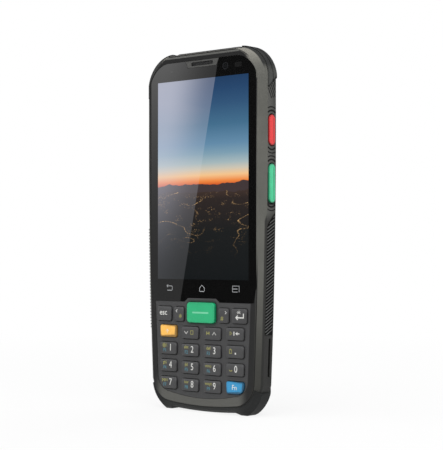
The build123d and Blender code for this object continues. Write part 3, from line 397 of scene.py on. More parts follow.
def makeScreenFinish(look=screenLook):  # dusk over low hills, with scattered lights in the dark valley
    finish = Finish("Cover glass over the lit display", look["black"], ior=1.5, coatWeight=0.0)
    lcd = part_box("lcd_module")
    low = lcd[0].z + look["footBorder"]
    high = lcd[1].z - look["topBorder"]
    x, y, z = finish.axes()
    lit = (abs(x) < lcd[1].x - look["sideBorder"]) * (z > low) * (z < high) * (y < glassBox[0].y + look["skin"])
    level = (z - low) / (high - low)
    horizon = look["horizon"]
    sky = finish.ramp((level - horizon) / (1 - horizon), look["sky"])
    haze = finish.noise(look["haze"], place=finish.stretched(*look["hazeStretch"]))
    sky = finish.blend((haze - 0.5) * look["hazeShare"], sky, look["hazeColour"])
    ground = finish.ramp(level / horizon, look["ground"])
    farLine = finish.noise(look["farLength"], 3.0, 0.5, finish.stretched(1.0, 0.0, 0.0))
    nearLine = finish.noise(look["nearLength"], 4.0, 0.55, finish.stretched(-1.0, 0.0, 0.0))
    farTop = horizon + (farLine - look["farMiddle"]) * look["farHeight"]
    nearTop = horizon - look["nearDrop"] + (nearLine - 0.5) * look["nearHeight"]
    valley = finish.stretched(*look["valley"])
    speck = finish.fit(finish.cells(look["lightPitch"], valley), *look["lightSize"], 1.0, 0.0)
    town = finish.fit(finish.noise(look["districts"], 3.0, 0.6, valley), *look["districtEdge"])
    road = finish.band(finish.noise(look["roads"], place=valley), *look["road"])
    sparkle = finish.fit(finish.noise(look["sparkle"], 1.0, place=valley), *look["sparkleEdge"])
    travelled = finish.noise(look["travel"], 1.0, place=finish.stretched(1.0, 0.0, 1.0))
    travelled = finish.fit(travelled, *look["travelEdge"])
    glints = speck * town + road * travelled * sparkle * look["roadShare"]
    glints = glints * finish.fit(level, *look["lightFade"])
    ground = finish.blend(glints, ground, look["lights"])
    picture = finish.blend(level < farTop, sky, look["hills"])
    picture = finish.blend(level < nearTop, picture, ground)
    # painted reflection: a pale sheen over the picture, left of the slanted streak
    edge = streakAt(z)
    across = finish.fit(edge - x, 0.0, look["sheenWidth"], look["sheenEdge"], 1.0)
    sheen = finish.fit(level, 0.0, 1.0, *look["sheenHeight"]) * across * (x < edge)
    picture = finish.blend(sheen, picture, look["sheen"])
    finish.set("emissionColor", finish.blend(lit, grey(0), picture))
    finish.set("emissionStrength", look["glow"])
    camera = middleOf(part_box("front_camera"))
    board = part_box("sensor_board")
    cameraAt = finish.spot(x, z, camera.x, camera.z)
    finish.paint(finish.band(cameraAt, *look["ringBand"]), look["ring"])
    finish.paint(finish.fit(cameraAt, *look["lensEdge"], 1.0, 0.0), look["lens"])
    sensor = abs(x - (board[1].x - look["windowInset"])) < look["windowHalfX"]
    sensor = sensor * (abs(z - camera.z) < look["windowHalfZ"])
    finish.paint(sensor, look["window"])
    lampAt = finish.spot(x, z, board[0].x + look["lampInset"], camera.z)
    finish.paint(finish.fit(lampAt, *look["lampEdge"], 1.0, 0.0), look["lampDot"])
    finish.set("roughness", look["smooth"] + finish.noise(look["smear"], 3.0) * look["smearShift"])
    return finish


keyLook = {
    "grey": tone(55, 55, 56), "panel": tone(54, 54, 55), "panelRoughness": 0.5, "corner": 1.6 * mm,
    "satin": {"roughness": 0.36, "grain": 0.22 * mm, "grainDepth": 0.005 * mm, "shift": 0.05, "speck": 0.04,
              "patch": 6 * mm, "edge": 0.12 * mm},
    "edgeShadeRadius": 0.5 * mm, "edgeShadeShare": 0.45, "edgeShadeLevel": 0.25,
    "rim": span(0.1, 0.75), "rimShare": 0.8, "rimShade": 0.12,
    "innerTo": 2.2 * mm, "innerShare": 0.8, "innerGain": 1.15,
    "liftZ": (0.5, 0.85), "liftGain": 2.1, "greyLift": 0.6, "greyShadeInset": -0.3 * mm,
    "capShadeInset": 0.65 * mm, "capLean": ((0, 0.35 * mm), (2, -0.45 * mm)),
    "scanGreen": tone(26, 166, 110), "barHalf": 4.4 * mm, "barHeight": 0.28 * mm, "barSoftX": 0.3 * mm,
    "barSoftZ": 0.15 * mm, "barShare": 0.55, "barColour": tone(150, 226, 190),
    "sideGreen": tone(62, 190, 138), "sideShadeInset": 0.4 * mm, "sideLean": ((1, 0.4 * mm),),
    "grooveAt": 0.62, "grooveHalf": 0.14 * mm, "grooveEnds": (0.55, 0.7), "grooveShare": 0.7, "grooveShade": 0.2,
    "glow": span(0.3, 0.9), "glowShare": 0.8, "glowColour": tone(8, 40, 28),
}


def satin(name, colour, roughness=keyLook["satin"]["roughness"]):
    look = keyLook
    finish = moulded(name, colour, dict(look["satin"], roughness=roughness))
    # painted shade along sharp edges
    paintedShading = finish.nearEdge(look["edgeShadeRadius"]) * look["edgeShadeShare"]
    finish.paint(paintedShading, shaded(colour, look["edgeShadeLevel"]))
    return finish


def makeKeyFinish(nodeName, name, colour, plane=(0, 2), corner=keyLook["corner"], lip=0.0, lean=(), lift=0.0):
    look = keyLook
    finish = satin(name, colour)
    axes = finish.axes()
    low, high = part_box(nodeName)
    if lift:  # painted highlight: the upper part of the key is paler
        upper = finish.fit((axes[2] - low.z) / (high.z - low.z), *look["liftZ"], 0.0, lift)
        finish.paint(upper, shaded(colour, look["liftGain"]))
    inwards = finish.within(nodeName, *plane, corner) - lip
    for axis, extra in lean:  # the painted shade at the edge is wider towards one end of an axis
        middle = (low[axis] + high[axis]) / 2
        inwards = inwards + (middle - axes[axis]) * (2 * extra / (high[axis] - low[axis]))
    # painted shade round the outline, and paler paint towards the middle
    rim = finish.fit(inwards, *look["rim"], look["rimShare"], 0.0)
    finish.paint(rim, shaded(colour, look["rimShade"]))
    inner = finish.fit(inwards, look["rim"][1], look["innerTo"]) * look["innerShare"]
    finish.paint(inner, shaded(colour, look["innerGain"]))
    return finish


def makeCapFinish(nodeName, name, colour):  # a coloured cap of the keypad; its painted shade is wider at its right and foot
    return makeKeyFinish(nodeName, name, colour, lip=keyLook["capShadeInset"], lean=keyLook["capLean"])


def makeScanKeyFinish(look=keyLook):
    finish = makeKeyFinish("scan_key", "Scan key, green", look["scanGreen"])
    x, y, z = finish.axes()
    bar = finish.band(abs(x), 0.0, look["barHalf"], look["barSoftX"])
    bar = bar * finish.band(z, middleOf(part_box("scan_key")).z, look["barHeight"], look["barSoftZ"])
    finish.paint(bar * look["barShare"], look["barColour"])
    return finish


def makeSideKeyFinish(nodeName, name, colour):  # painted shade of a groove: a dark line runs along the key, nearer the back
    look = keyLook
    low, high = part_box(nodeName)
    half = (high.y - low.y) / 2
    finish = makeKeyFinish(nodeName, name, colour, (1, 2), half, look["sideShadeInset"], look["sideLean"])
    groove = finish.band(finish.axes()[1], low.y + 2 * half * look["grooveAt"], look["grooveHalf"],
                         look["grooveHalf"])
    ends = finish.fit(finish.within(nodeName, 1, 2, half), *(half * share for share in look["grooveEnds"]))
    groove = groove * ends * look["grooveShare"]
    finish.paint(groove, shaded(colour, look["grooveShade"]))
    return finish


def makePanelFinish(look=keyLook):  # keypad panel, with a dark green shade close round the scan key
    finish = satin("Keypad panel", look["panel"], look["panelRoughness"])
    glow = finish.fit(0.0 - finish.within("scan_key", 0, 2, look["corner"]), *look["glow"], 1.0, 0.0)
    finish.paint(glow * look["glowShare"], look["glowColour"])
    return finish


boardLook = {"roughness": 0.35, "mask": tone(16, 84, 50), "track": tone(22, 110, 66), "pad": tone(190, 170, 90),
             "padPitch": 1.7 * mm, "padEdge": (0.16, 0.2), "trackSize": 2.6 * mm, "trackEdge": (0.5, 0.52),
             "trackShare": 0.5}


def makeBoardFinish(look=boardLook):
    finish = Finish("Circuit board, solder mask", look["mask"], roughness=look["roughness"])
    pads = finish.fit(finish.cells(look["padPitch"]), *look["padEdge"], 1.0, 0.0)
    tracks = finish.fit(finish.noise(look["trackSize"], 1.0), *look["trackEdge"])
    finish.paint(tracks * look["trackShare"], look["track"])
    finish.paint(pads, look["pad"])
    finish.set("metallic", pads)
    return finish


metalLook = {"cloud": 7 * mm, "cloudShade": 0.86, "roughShift": 0.25, "scratchDepth": 0.006 * mm}


def makeMetalFinish(name, colour, roughness, stretch=(1, 1, 1), scratch=0.9 * mm):
    look = metalLook
    finish = Finish(name, shaded(colour, look["cloudShade"]), metallic=1.0)
    scratches = finish.noise(scratch, 4.0, 0.6, finish.stretched(*stretch))
    finish.paint(finish.noise(look["cloud"]), colour)
    finish.set("roughness", roughness + (scratches - 0.5) * look["roughShift"])
    finish.set("normal", finish.bump(scratches, look["scratchDepth"]))
    return finish


filmLook = {"roughness": 0.3, "size": 0.8 * mm, "stretch": (1, 1, 0.1), "edge": (0.5, 0.53),
            "film": tone(186, 116, 34), "trace": tone(150, 84, 24)}


def makeFilmFinish(look=filmLook):
    finish = Finish("Polyimide flex", look["film"], roughness=look["roughness"])
    traces = finish.fit(finish.noise(look["size"], 1.0, place=finish.stretched(*look["stretch"])), *look["edge"])
    finish.paint(traces, look["trace"])
    return finish


wrapLook = {"colour": tone(40, 41, 44), "change": {"roughness": 0.42, "speck": 0.02}, "bandColour": tone(96, 98, 102),
            "bandDrop": 6 * mm, "bandHalf": 2.2 * mm, "bandSoft": 0.1 * mm}


def makeWrapFinish(look=wrapLook):  # matt film round the battery, with a paler end band
    finish = moulded("Battery wrap", look["colour"], look["change"])
    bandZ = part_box("battery_pack")[1].z - look["bandDrop"]
    band = finish.band(finish.axes()[2], bandZ, look["bandHalf"], look["bandSoft"])
    finish.paint(band, look["bandColour"])
    return finish


windowLook = {"black": grey(12), "clear": grey(40), "clearShare": 0.82, "eye": 3.0 * mm, "flash": 1.4 * mm,
              "roughness": 0.03, "smear": 9 * mm, "smearShift": 0.05}


def makeWindowFinish(look=windowLook):  # black printed glass with two clear eyes
    finish = Finish("Camera window", look["black"], ior=1.5)
    x, y, z = finish.axes()
    lens, lamp = middleOf(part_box("rear_camera")), middleOf(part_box("flash_led"))
    eye = finish.spot(x, z, lens.x, lens.z) < look["eye"]
    flash = finish.spot(x, z, lamp.x, lens.z) < look["flash"]
    clear = eye.maths("MAXIMUM", flash)
    finish.paint(clear, look["clear"])
    finish.set("alpha", 1 - clear * look["clearShare"])
    finish.set("roughness", look["roughness"] + finish.noise(look["smear"]) * look["smearShift"])
    return finish


glassyLook = {"cloud": 5 * mm, "low": 0.85, "high": 1.1, "roughShift": 0.05}


def makeGlassyFinish(name, colour, roughness, **shaderValues):
    look = glassyLook
    finish = Finish(name, shaded(colour, look["low"]), **shaderValues)
    cloud = finish.noise(look["cloud"], 3.0)
    finish.paint(cloud, shaded(colour, look["high"]))
    finish.set("roughness", roughness + cloud * look["roughShift"])
    return finish


rubberLook = {"roughness": 0.74, "roughShift": 0.12, "grain": 0.36 * mm, "grainDepth": 0.02 * mm, "shift": 0.12}
inkLook = {"roughness": 0.5, "edge": 0.0, "grainDepth": 0.003 * mm, "speck": 0.0, "shift": 0.05}


def rubberFinish(name, colour, specular=0.25):
    return moulded(name, colour, rubberLook, specularIorLevel=specular)


def inkFinish(name, colour):
    return moulded(name, colour, inkLook)


bumperLook = {"upper": tone(33, 34, 34), "share": 0.9,
              "lower": tone(72, 73, 71), "lowerZ": span(143, 148), "lowerShare": 0.85,
              "foot": tone(14, 14, 14), "footAt": 140.8 * mm, "footLean": 0.9, "footEdge": span(1.1, 1.4),
              "front": tone(52, 53, 52), "frontX": span(17, 25)}


def makeBumperFinish(look=bumperLook):
    finish = rubberFinish("Top bumper, paler lower end", look["upper"])
    x, y, z = finish.axes()
    # paler towards the lower end, and darker below a slanted line at the foot
    lower = finish.fit(z, *look["lowerZ"], look["lowerShare"], 0.0)
    finish.paint(lower, look["lower"])
    above = z - y * look["footLean"] - look["footAt"]
    foot = finish.fit(above, *look["footEdge"], look["share"], 0.0)
    finish.paint(foot, look["foot"])
    return finish


def makeBaseFinish(look=bumperLook):  # base bumper, paler along the front
    finish = rubberFinish("Base bumper", look["upper"])
    front = finish.fit(abs(finish.axes()[0]), *look["frontX"], look["share"], 0.0)
    finish.paint(front, look["front"])
    return finish


keyGrey = satin("Key caps, grey", keyLook["grey"])
ribGrey = rubberFinish("Grip rib, paler grey", tone(79, 80, 79))
gripDark = rubberFinish("Grip floor, black", tone(8, 8, 8), 0.1)
# the side beads are near black as painted shade of the grooves round the key ends
beadDark = rubberFinish("Side relief, painted shade", tone(12, 12, 12), 0.2)
patchDark = rubberFinish("Side relief, grey", tone(20, 20, 20), 0.2)
bumper = makeBumperFinish()
slotFinishes = {
    "case_grey": makeFrontFinish(),
    "case_dark": makeRearFinish(),
    "panel_grey": satin("Volume rocker", keyLook["panel"], keyLook["panelRoughness"]),
    "cover_glass": makeScreenFinish(),
    "display": makeGlassyFinish("Display module", tone(40, 46, 52), 0.2),
    "black_plastic": satin("Black plastic", grey(24), 0.4),
    "flex_amber": makeFilmFinish(),
    "silicone": moulded("Silicone sheet", tone(150, 152, 150), rubberLook),
    "board_green": makeBoardFinish(),
    "magnesium": makeMetalFinish("Die-cast magnesium", tone(176, 178, 180), 0.55, scratch=0.5 * mm),
    "tinned_steel": makeMetalFinish("Tinned sheet", tone(205, 204, 198), 0.32, (1, 1, 0.08)),
    "window_red": makeGlassyFinish("Scan window, dark red", tone(58, 8, 12), 0.03, ior=1.5),
    "led_white": makeGlassyFinish("Phosphor lens", tone(240, 226, 150), 0.25),
    "window_black": makeWindowFinish(),
    "battery_black": makeWrapFinish(),
    "gold_contact": makeMetalFinish("Gold plated contact", tone(230, 190, 96), 0.25),
    "screw_steel": makeMetalFinish("Dark zinc", tone(120, 120, 124), 0.35, scratch=0.3 * mm),
    "key_red": makeSideKeyFinish("red_side_key", "Side key, red", tone(214, 44, 46)),
    "key_green": makeSideKeyFinish("green_side_key", "Side key, green", keyLook["sideGreen"]),
    "key_orange": makeCapFinish("orange_key", "Orange key", tone(254, 192, 88)),
    "key_blue": makeCapFinish("function_key", "Function key, blue", tone(46, 142, 192)),
    "rubber_black": rubberFinish("Moulded rubber", tone(35, 36, 36)),
}
nodeFinishes = {
    "keypad_frame": makePanelFinish(),
    "top_right_bumper": bumper,
    "top_left_bumper": bumper,
    "base_bumper": makeBaseFinish(),
    "right_grip": gripDark,
    "left_grip": gripDark,
    "battery_cover": makeCoverFinish(),
    "scan_key": makeScanKeyFinish(),
    "left_scan_key": makeSideKeyFinish("left_scan_key", "Left side key, green", keyLook["sideGreen"]),
    "earpiece_grille": satin("Earpiece bar, grey", tone(66, 66, 64), 0.5),
}
for subpart in frame["record"]["subparts"]:
    nodeName = subpart.get("node") or subpart.get("name")
    slotName = subpart["material_slot"]
    if slotName == "key_grey":  # each grey key has its own finish, set by the key's own box
        finish = makeKeyFinish(nodeName, "Grey " + nodeName.replace("_", " "), keyLook["grey"],
                               lip=keyLook["greyShadeInset"], lift=keyLook["greyLift"])
    else:
        finish = nodeFinishes.get(nodeName) or slotFinishes[slotName]
    for materialSlot in nodes[nodeName].material_slots:
        materialSlot.material = finish.material
print("stage: finishes on", len(nodes), "solids")


# Modelling helpers
sharpAngle = math.radians(40)
weld = 0.0005 * mm
clear = 60 * mm  # a distance outside the case on either side


def addBox(bm, centre, size, turn=Matrix.Identity(4), bevel=0.0):
    matrix = Matrix.Translation(Vector(centre)) @ turn @ Matrix.Diagonal((*size, 1.0))
    corners = bmesh.ops.create_cube(bm, size=1.0, matrix=matrix)["verts"]
    if bevel:
        edges = list(dict.fromkeys(edge for corner in corners for edge in corner.link_edges))
        bmesh.ops.bevel(bm, geom=edges, offset=bevel, affect="EDGES", segments=2, profile=0.5, material=-1)


def addCurve(bm, curve, matrix, finishIndex):  # a curve's mesh, placed, joins the bmesh
    holder = bpy.data.objects.new("outline", curve)
    mesh = bpy.data.meshes.new_from_object(holder)
    mesh.transform(matrix)
    known = len(bm.faces)
    bm.from_mesh(mesh)
    bm.faces.ensure_lookup_table()
    for face in bm.faces[known:]:
        face.material_index = finishIndex
    bpy.data.objects.remove(holder)
    bpy.data.curves.remove(curve)
    bpy.data.meshes.remove(mesh)


def trim(bm, point, outward):  # cuts off what lies beyond a plane and closes the cut
    geom = bm.verts[:] + bm.edges[:] + bm.faces[:]
    bmesh.ops.bisect_plane(bm, geom=geom, plane_co=point, plane_no=outward, clear_outer=True)
    closeHoles(bm)


def closeHoles(bm):
    bmesh.ops.holes_fill(bm, edges=[edge for edge in bm.edges if edge.is_boundary], sides=0)


def makePiece(name, bm, finishes, body):
    bmesh.ops.remove_doubles(bm, verts=bm.verts, dist=weld)
    bmesh.ops.recalc_face_normals(bm, faces=bm.faces)
    mesh = bpy.data.meshes.new(name)
    bm.to_mesh(mesh)
    bm.free()
    for finish in finishes:
        mesh.materials.append(finish.material)
    for face in mesh.polygons:
        face.use_smooth = True
    mesh.set_sharp_from_angle(angle=sharpAngle)
    piece = bpy.data.objects.new(name, mesh)
    bpy.context.scene.collection.objects.link(piece)
    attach(piece, body)
    return piece


def sideTree(nodeName):  # the surface that side trim is laid on
    bm = bmesh.new()
    bm.from_mesh(nodes[nodeName].data)
    tree = BVHTree.FromBMesh(bm)
    bm.free()
    return tree


def sideAt(tree, y, z, side):  # how far out the side lies at a depth and height
    return tree.ray_cast(Vector((side * clear, y, z)), Vector((-side, 0, 0)))[0].x


# Key legends
legendLook = {
    "height": 0.02 * mm, "line": 0.34 * mm, "weight": 0.02 * mm, "digitSize": 4.1 * mm, "digitX": 1.35 * mm,
    "digitZ": 0.25 * mm, "digitForm": (1.0, 0.85), "smallSize": 2.0 * mm, "smallX": -2.0 * mm, "upperZ": 1.3 * mm,
    "lowerZ": -0.95 * mm, "smallForm": (0.4, 0.95), "dot": 0.75 * mm,
}
inks = [
    inkFinish("White ink", tone(214, 214, 210)),
    inkFinish("Yellow-green ink", tone(158, 155, 84)),
    inkFinish("Teal ink", tone(72, 132, 148)),
]
white, yellow, teal = range(3)


def words(bm, key, text, size, across, up, ink=white, weight=1.0, narrow=1.0):
    curve = bpy.data.curves.new("letters", "FONT")
    curve.body = text
    curve.size = size
    curve.extrude = legendLook["height"] / 2
    curve.offset = legendLook["weight"] * weight
    curve.align_x = "CENTER"
    curve.align_y = "CENTER"
    curve.resolution_u = 4
    matrix = Matrix.Translation(key + Vector((across, 0, up))) @ Matrix.Rotation(math.pi / 2, 4, "X")
    addCurve(bm, curve, matrix @ Matrix.Diagonal((narrow, 1, 1, 1)), ink)


def lines(bm, key, paths, ink=white, heavier=1.0, line=legendLook["line"], scale=mm):  # flat, of even width
    for path in paths:
        curve = bpy.data.curves.new("stroke", "CURVE")
        curve.dimensions = "3D"
        curve.bevel_depth = line * heavier / 2
        curve.bevel_resolution = 1
        curve.use_fill_caps = True
        spline = curve.splines.new("POLY")
        spline.use_cyclic_u = path[0] == path[-1]
        corners = path[:-1] if spline.use_cyclic_u else path
        spline.points.add(len(corners) - 1)
        for corner, (across, up) in zip(spline.points, corners):
            corner.co = (key.x + across * scale, 0, key.z + up * scale, 1)
        flat = Matrix.Diagonal((1, legendLook["height"] / (line * heavier), 1, 1))
        addCurve(bm, curve, Matrix.Translation((0, key.y, 0)) @ flat, ink)


def dot(bm, key, across, up):
    addBox(bm, key + Vector((across, 0, up)), (legendLook["dot"], legendLook["height"], legendLook["dot"]))


def digit(text, across=legendLook["digitX"]):
    return (words, text, legendLook["digitSize"], across, legendLook["digitZ"], white, *legendLook["digitForm"])


def small(text, across, up, ink, size=1.0):
    return (words, text, legendLook["smallSize"] * size, across, up, ink, *legendLook["smallForm"])


legends = {}
for number, upper in enumerate(("@/:", "abc", "def", "ghi", "jkl", "mno", "pqrs", "tuv", "wxyz"), 1):
    legends["key_%d" % number] = [
        digit(str(number)), small(upper, legendLook["smallX"], legendLook["upperZ"], yellow),
        small("F%d" % number, legendLook["smallX"], legendLook["lowerZ"], teal)]
legends.update({
    "key_0": [digit("0", 0.6 * mm), (lines, [[(-3.0, -0.1), (-2.6, -0.5), (-1.8, -0.5), (-1.4, -0.1)]], yellow)],
    "point_key": [
        (dot, 0.4 * mm, -0.6 * mm),
        (lines, [[(-2.9, 0.9), (-1.7, 0.9), (-1.7, -0.6), (-2.9, -0.6), (-2.9, 0.9)], [(-2.3, 0.9), (-2.3, 1.4)]],
         yellow)],
    "down_key": [(lines, [[(-3.1, 0.6), (-2.1, -0.5), (-1.1, 0.6)]]),
                 (lines, [[(0.5, -0.6), (1.9, -0.6), (1.9, 0.9), (0.5, 0.9), (0.5, -0.6)]], yellow)],
    "up_key": [
        (lines, [[(0.3, -0.5), (1.3, 0.7), (2.3, -0.5)]]),
        (lines, [[(-2.9, -0.5), (-2.9, 0.9)], [(-2.9, 0.2), (-1.6, 0.2)], [(-1.6, -0.5), (-1.6, 0.9)]], yellow)],
    "delete_key": [
        (lines, [[(-0.4, -0.6), (-0.4, 1.1)], [(0.6, 0.25), (2.6, 0.25)], [(1.5, 0.8), (0.6, 0.25), (1.5, -0.3)]],
         white, 1.45),
        (lines, [[(-2.6, -0.5), (-2.6, 1.0), (-1.5, 0.3), (-2.6, -0.5)]], yellow)],
    "escape_key": [(words, "esc", 3.5 * mm, -0.5 * mm, 0.5 * mm)],
    "left_key": [(lines, [[(-0.9, 1.9), (-1.7, 1.3), (-0.9, 0.7)]]), small("*", 0.9 * mm, -1.7 * mm, yellow, 2.1)],
    "right_key": [(lines, [[(0.9, 1.9), (1.7, 1.3), (0.9, 0.7)]]), small("#", -0.8 * mm, -1.2 * mm, yellow, 1.35)],
    "enter_key": [
        (lines, [[(2.4, 1.2), (2.4, -0.6), (-1.7, -0.6)], [(-0.7, 0.3), (-1.8, -0.6), (-0.7, -1.5)]], white, 1.8),
        small("ok", -0.2 * mm, 1.7 * mm, white)],
    "function_key": [(words, "Fn", 3.0 * mm, -0.2 * mm, 0.1 * mm)],
    "orange_key": [(lines, [[(-0.6, -0.9), (-0.6, 0.6)], [(-1.4, -0.1), (-0.6, 0.8), (0.2, -0.1)]], white, 0.7)],
})
for keyName, marks in legends.items():
    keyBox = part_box(keyName)
    key = middleOf(keyBox)
    key.y = keyBox[0].y
    bm = bmesh.new()
    for draw, *details in marks:
        draw(bm, key, *details)
    makePiece(keyName + "_legend", bm, inks, keyName)
print("stage: key legends")

# Touch marks on the glass under the display: back, home and menu
navLook = {"z": 53.0 * mm, "spread": 19.0 * mm, "scale": 0.86 * mm, "line": 0.27 * mm}
navPaths = {
    -1: [[(1.6, -1.3), (2.0, -0.9), (2.0, 0.5), (1.6, 0.9), (-1.6, 0.9)], [(-1.4, -1.3), (1.6, -1.3)],
         [(-0.9, 1.6), (-1.8, 0.9), (-0.9, 0.2)]],
    0: [[(-1.3, -1.5), (1.3, -1.5), (1.6, -1.2), (1.6, 0.2), (0.0, 1.6), (-1.6, 0.2), (-1.6, -1.2), (-1.3, -1.5)]],
    1: [[(1.1, -1.4), (-2.1, -1.4), (-2.1, 1.5), (2.1, 1.5), (2.1, -1.4)], [(-2.1, 0.05), (1.0, 0.05)]],
}
navInk = inkFinish("Screen print, pale grey", tone(178, 180, 182))
bm = bmesh.new()
for place, paths in navPaths.items():
    mark = Vector((place * navLook["spread"], glassBox[0].y, navLook["z"]))
    lines(bm, mark, paths, line=navLook["line"], scale=navLook["scale"])
makePiece("nav_marks", bm, [navInk], caseBody)

# Woven wire behind the earpiece slot
meshLook = {"width": 12.2 * mm, "height": 1.4 * mm, "wire": 0.09 * mm, "pitch": 0.3 * mm, "depth": 0.55 * mm,
            "rows": 2}
bm = bmesh.new()
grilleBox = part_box("earpiece_grille")
grilleZ = middleOf(grilleBox).z
wireY = grilleBox[0].y + meshLook["depth"]
wire = meshLook["wire"]
wireCount = int(meshLook["width"] / meshLook["pitch"])
for index in range(wireCount + 1):
    x = (index / wireCount - 0.5) * meshLook["width"]
    addBox(bm, (x, wireY, grilleZ), (wire, wire, meshLook["height"]))
for index in range(-meshLook["rows"], meshLook["rows"] + 1):
    addBox(bm, (0, wireY - wire, grilleZ + index * meshLook["pitch"]), (meshLook["width"], wire, wire))
makePiece("earpiece_mesh", bm, [keyGrey], caseBody)
print("stage: screen print and earpiece mesh")

# Ribs on the side grips
ribLook = {"pitch": 1.35 * mm, "width": 0.42 * mm, "stand": 0.18 * mm, "forward": 0.95 * mm, "angle": 27.0,
           "margin": 0.3 * mm, "lead": 4.6 * mm, "spare": 2 * mm, "bevel": 0.08 * mm}

for side, label in ((1, "right"), (-1, "left")):
    low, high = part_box(label + "_grip")
    tree = sideTree(label + "_grip")
    middleY = (low.y + high.y) / 2
    near = low.y + ribLook["margin"] - ribLook["forward"]
    far = high.y - ribLook["margin"]
    angle = math.radians(ribLook["angle"])
    size = (2 * ribLook["stand"], (far - near) / math.cos(angle) + ribLook["spare"], ribLook["width"])
    highest = high.z - ribLook["lead"]
    bm = bmesh.new()
    for index in range(int((high.z - low.z + ribLook["lead"]) / ribLook["pitch"])):
        z = low.z + (index + 1) * ribLook["pitch"]
        centre = (sideAt(tree, middleY, min(z, highest), side), middleY, z)
        addBox(bm, centre, size, Matrix.Rotation(angle, 4, "X"), ribLook["bevel"])
    trim(bm, (0, near, 0), (0, -1, 0))
    trim(bm, (0, far, 0), (0, 1, 0))
    trim(bm, (0, 0, low.z + ribLook["margin"]), (0, 0, -1))
    topNormal = Vector((0, -ribLook["lead"], high.y - low.y))
    trim(bm, (0, low.y, highest - ribLook["margin"]), topNormal.normalized())
    makePiece(label + "_grip_ribs", bm, [ribGrey], caseBody)

# Crescent beads above and below the side keys, and a short ribbed patch under each top bumper
beadLook = {"beads": (span(1.3, 0.36), span(2.8, 0.24)), "reach": 2.5 * mm, "flat": 0.6, "steps": 14,
            "segments": 8}
patchLook = {"count": 6, "y": -4.4 * mm, "z": 136.7 * mm, "stepY": 0.95 * mm, "stepZ": 0.76 * mm,
             "length": 4.6 * mm, "longer": 0.5 * mm, "angle": -62.0, "width": 0.36 * mm, "stand": 0.12 * mm,
             "rear": 0.4 * mm}


def addBead(bm, tree, side, y, z, radius, bead, way):  # an arc round the end of a key
    centre = Vector((sideAt(tree, y, z + way * radius, side), y, z))
    start = math.asin(min(beadLook["reach"] / radius, 1))
    matrix = (Matrix.Translation(centre) @ Matrix.Rotation(-start, 4, "X")
              @ Matrix.Translation((0, 0, way * radius)) @ Matrix.Rotation(math.pi / 2, 4, "X")
              @ Matrix.Diagonal((beadLook["flat"], 1, 1, 1)))
    ring = bmesh.ops.create_circle(bm, cap_ends=True, radius=bead, segments=beadLook["segments"],
                                   matrix=matrix)["verts"]
    bmesh.ops.spin(bm, geom=ring + ring[0].link_faces[:], cent=centre, axis=(1, 0, 0), angle=2 * start,
                   steps=beadLook["steps"], dvec=(0, 0, 0))


tree = sideTree("front_housing")
for side, label in ((1, "right"), (-1, "left")):
    bm = bmesh.new()
    for keyName in sideKeys[label]:
        low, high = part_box(keyName)
        y = (low.y + high.y) / 2
        end = (high.y - low.y) / 2
        for gap, bead in beadLook["beads"]:
            addBead(bm, tree, side, y, high.z - end, end + gap, bead, 1)
            addBead(bm, tree, side, y, low.z + end, end + gap, bead, -1)
    makePiece(label + "_key_beads", bm, [beadDark], caseBody)
    bm = bmesh.new()
    turn = Matrix.Rotation(math.radians(patchLook["angle"]), 4, "X")
    for index in range(patchLook["count"]):
        y = patchLook["y"] + index * patchLook["stepY"]
        z = patchLook["z"] + index * patchLook["stepZ"]
        length = patchLook["length"] + index * patchLook["longer"]
        centre = Vector((sideAt(tree, y, z, side), y, z)) + turn.to_3x3() @ Vector((0, length / 2, 0))
        addBox(bm, centre, (2 * patchLook["stand"], length, patchLook["width"]), turn, ribLook["bevel"])
    trim(bm, (0, patchLook["rear"], 0), (0, 1, 0))
    makePiece(label + "_upper_ribs", bm, [patchDark], caseBody)
print("stage: side ribs and beads")

# Rear camera with a stepped barrel and a domed lens
lensLook = {"steps": 32, "barrel": 3.1 * mm, "depth": 4 * mm, "dome": 1.15 * mm, "rise": 0.45 * mm, "domeSteps": 4,
            "rings": ((2.75, 0.0), (2.6, 0.35), (2.0, 0.5), (1.85, 0.8), (1.2, 0.95))}  # radius and depth in mm
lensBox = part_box("rear_camera")
centre = middleOf(lensBox)
backY = lensBox[1].y
profile = [(lensLook["barrel"], -lensLook["depth"]), (lensLook["barrel"], 0.0)]
profile += [(radius * mm, -depth * mm) for radius, depth in lensLook["rings"]]
domeY = profile[-1][1]
for step in range(1, lensLook["domeSteps"] + 1):
    turn = math.pi / 2 * step / lensLook["domeSteps"]
    profile.append((lensLook["dome"] * math.cos(turn), domeY + lensLook["rise"] * math.sin(turn)))
bm = bmesh.new()
corners = [bm.verts.new((centre.x + radius, backY + rise, centre.z)) for radius, rise in profile]
edges = [bm.edges.new(pair) for pair in zip(corners, corners[1:])]
bmesh.ops.spin(bm, geom=corners + edges, cent=(centre.x, 0, centre.z), axis=(0, 1, 0), angle=2 * math.pi,
               steps=lensLook["steps"], use_merge=True, dvec=(0, 0, 0))
closeHoles(bm)
lens = makePiece("rear_lens", bm, [slotFinishes["black_plastic"]], caseBody)
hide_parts("rear_camera")
print("stage: rear camera")

# Camera, floor and light
viewLook = {
    "lens": 107.13, "sensor": 36.0, "distance": span(380.77, -430.26, -31.8), "displayZ": 100.0 * mm,
    "yaw": 40.67, "pitch": 1.194,
}
cameraData = bpy.data.cameras.new("camera")
cameraData.lens = viewLook["lens"]
cameraData.sensor_width = viewLook["sensor"]
camera = bpy.data.objects.new("camera", cameraData)
bpy.context.scene.collection.objects.link(camera)
camera.location = Vector((0, glassBox[0].y, viewLook["displayZ"])) + Vector(viewLook["distance"])
yaw = math.radians(viewLook["yaw"])
pitch = math.radians(viewLook["pitch"])
forward = Vector((-math.sin(yaw) * math.cos(pitch), math.cos(yaw) * math.cos(pitch), math.sin(pitch)))
camera.rotation_euler = forward.to_track_quat("-Z", "Y").to_euler()
bpy.context.scene.camera = camera


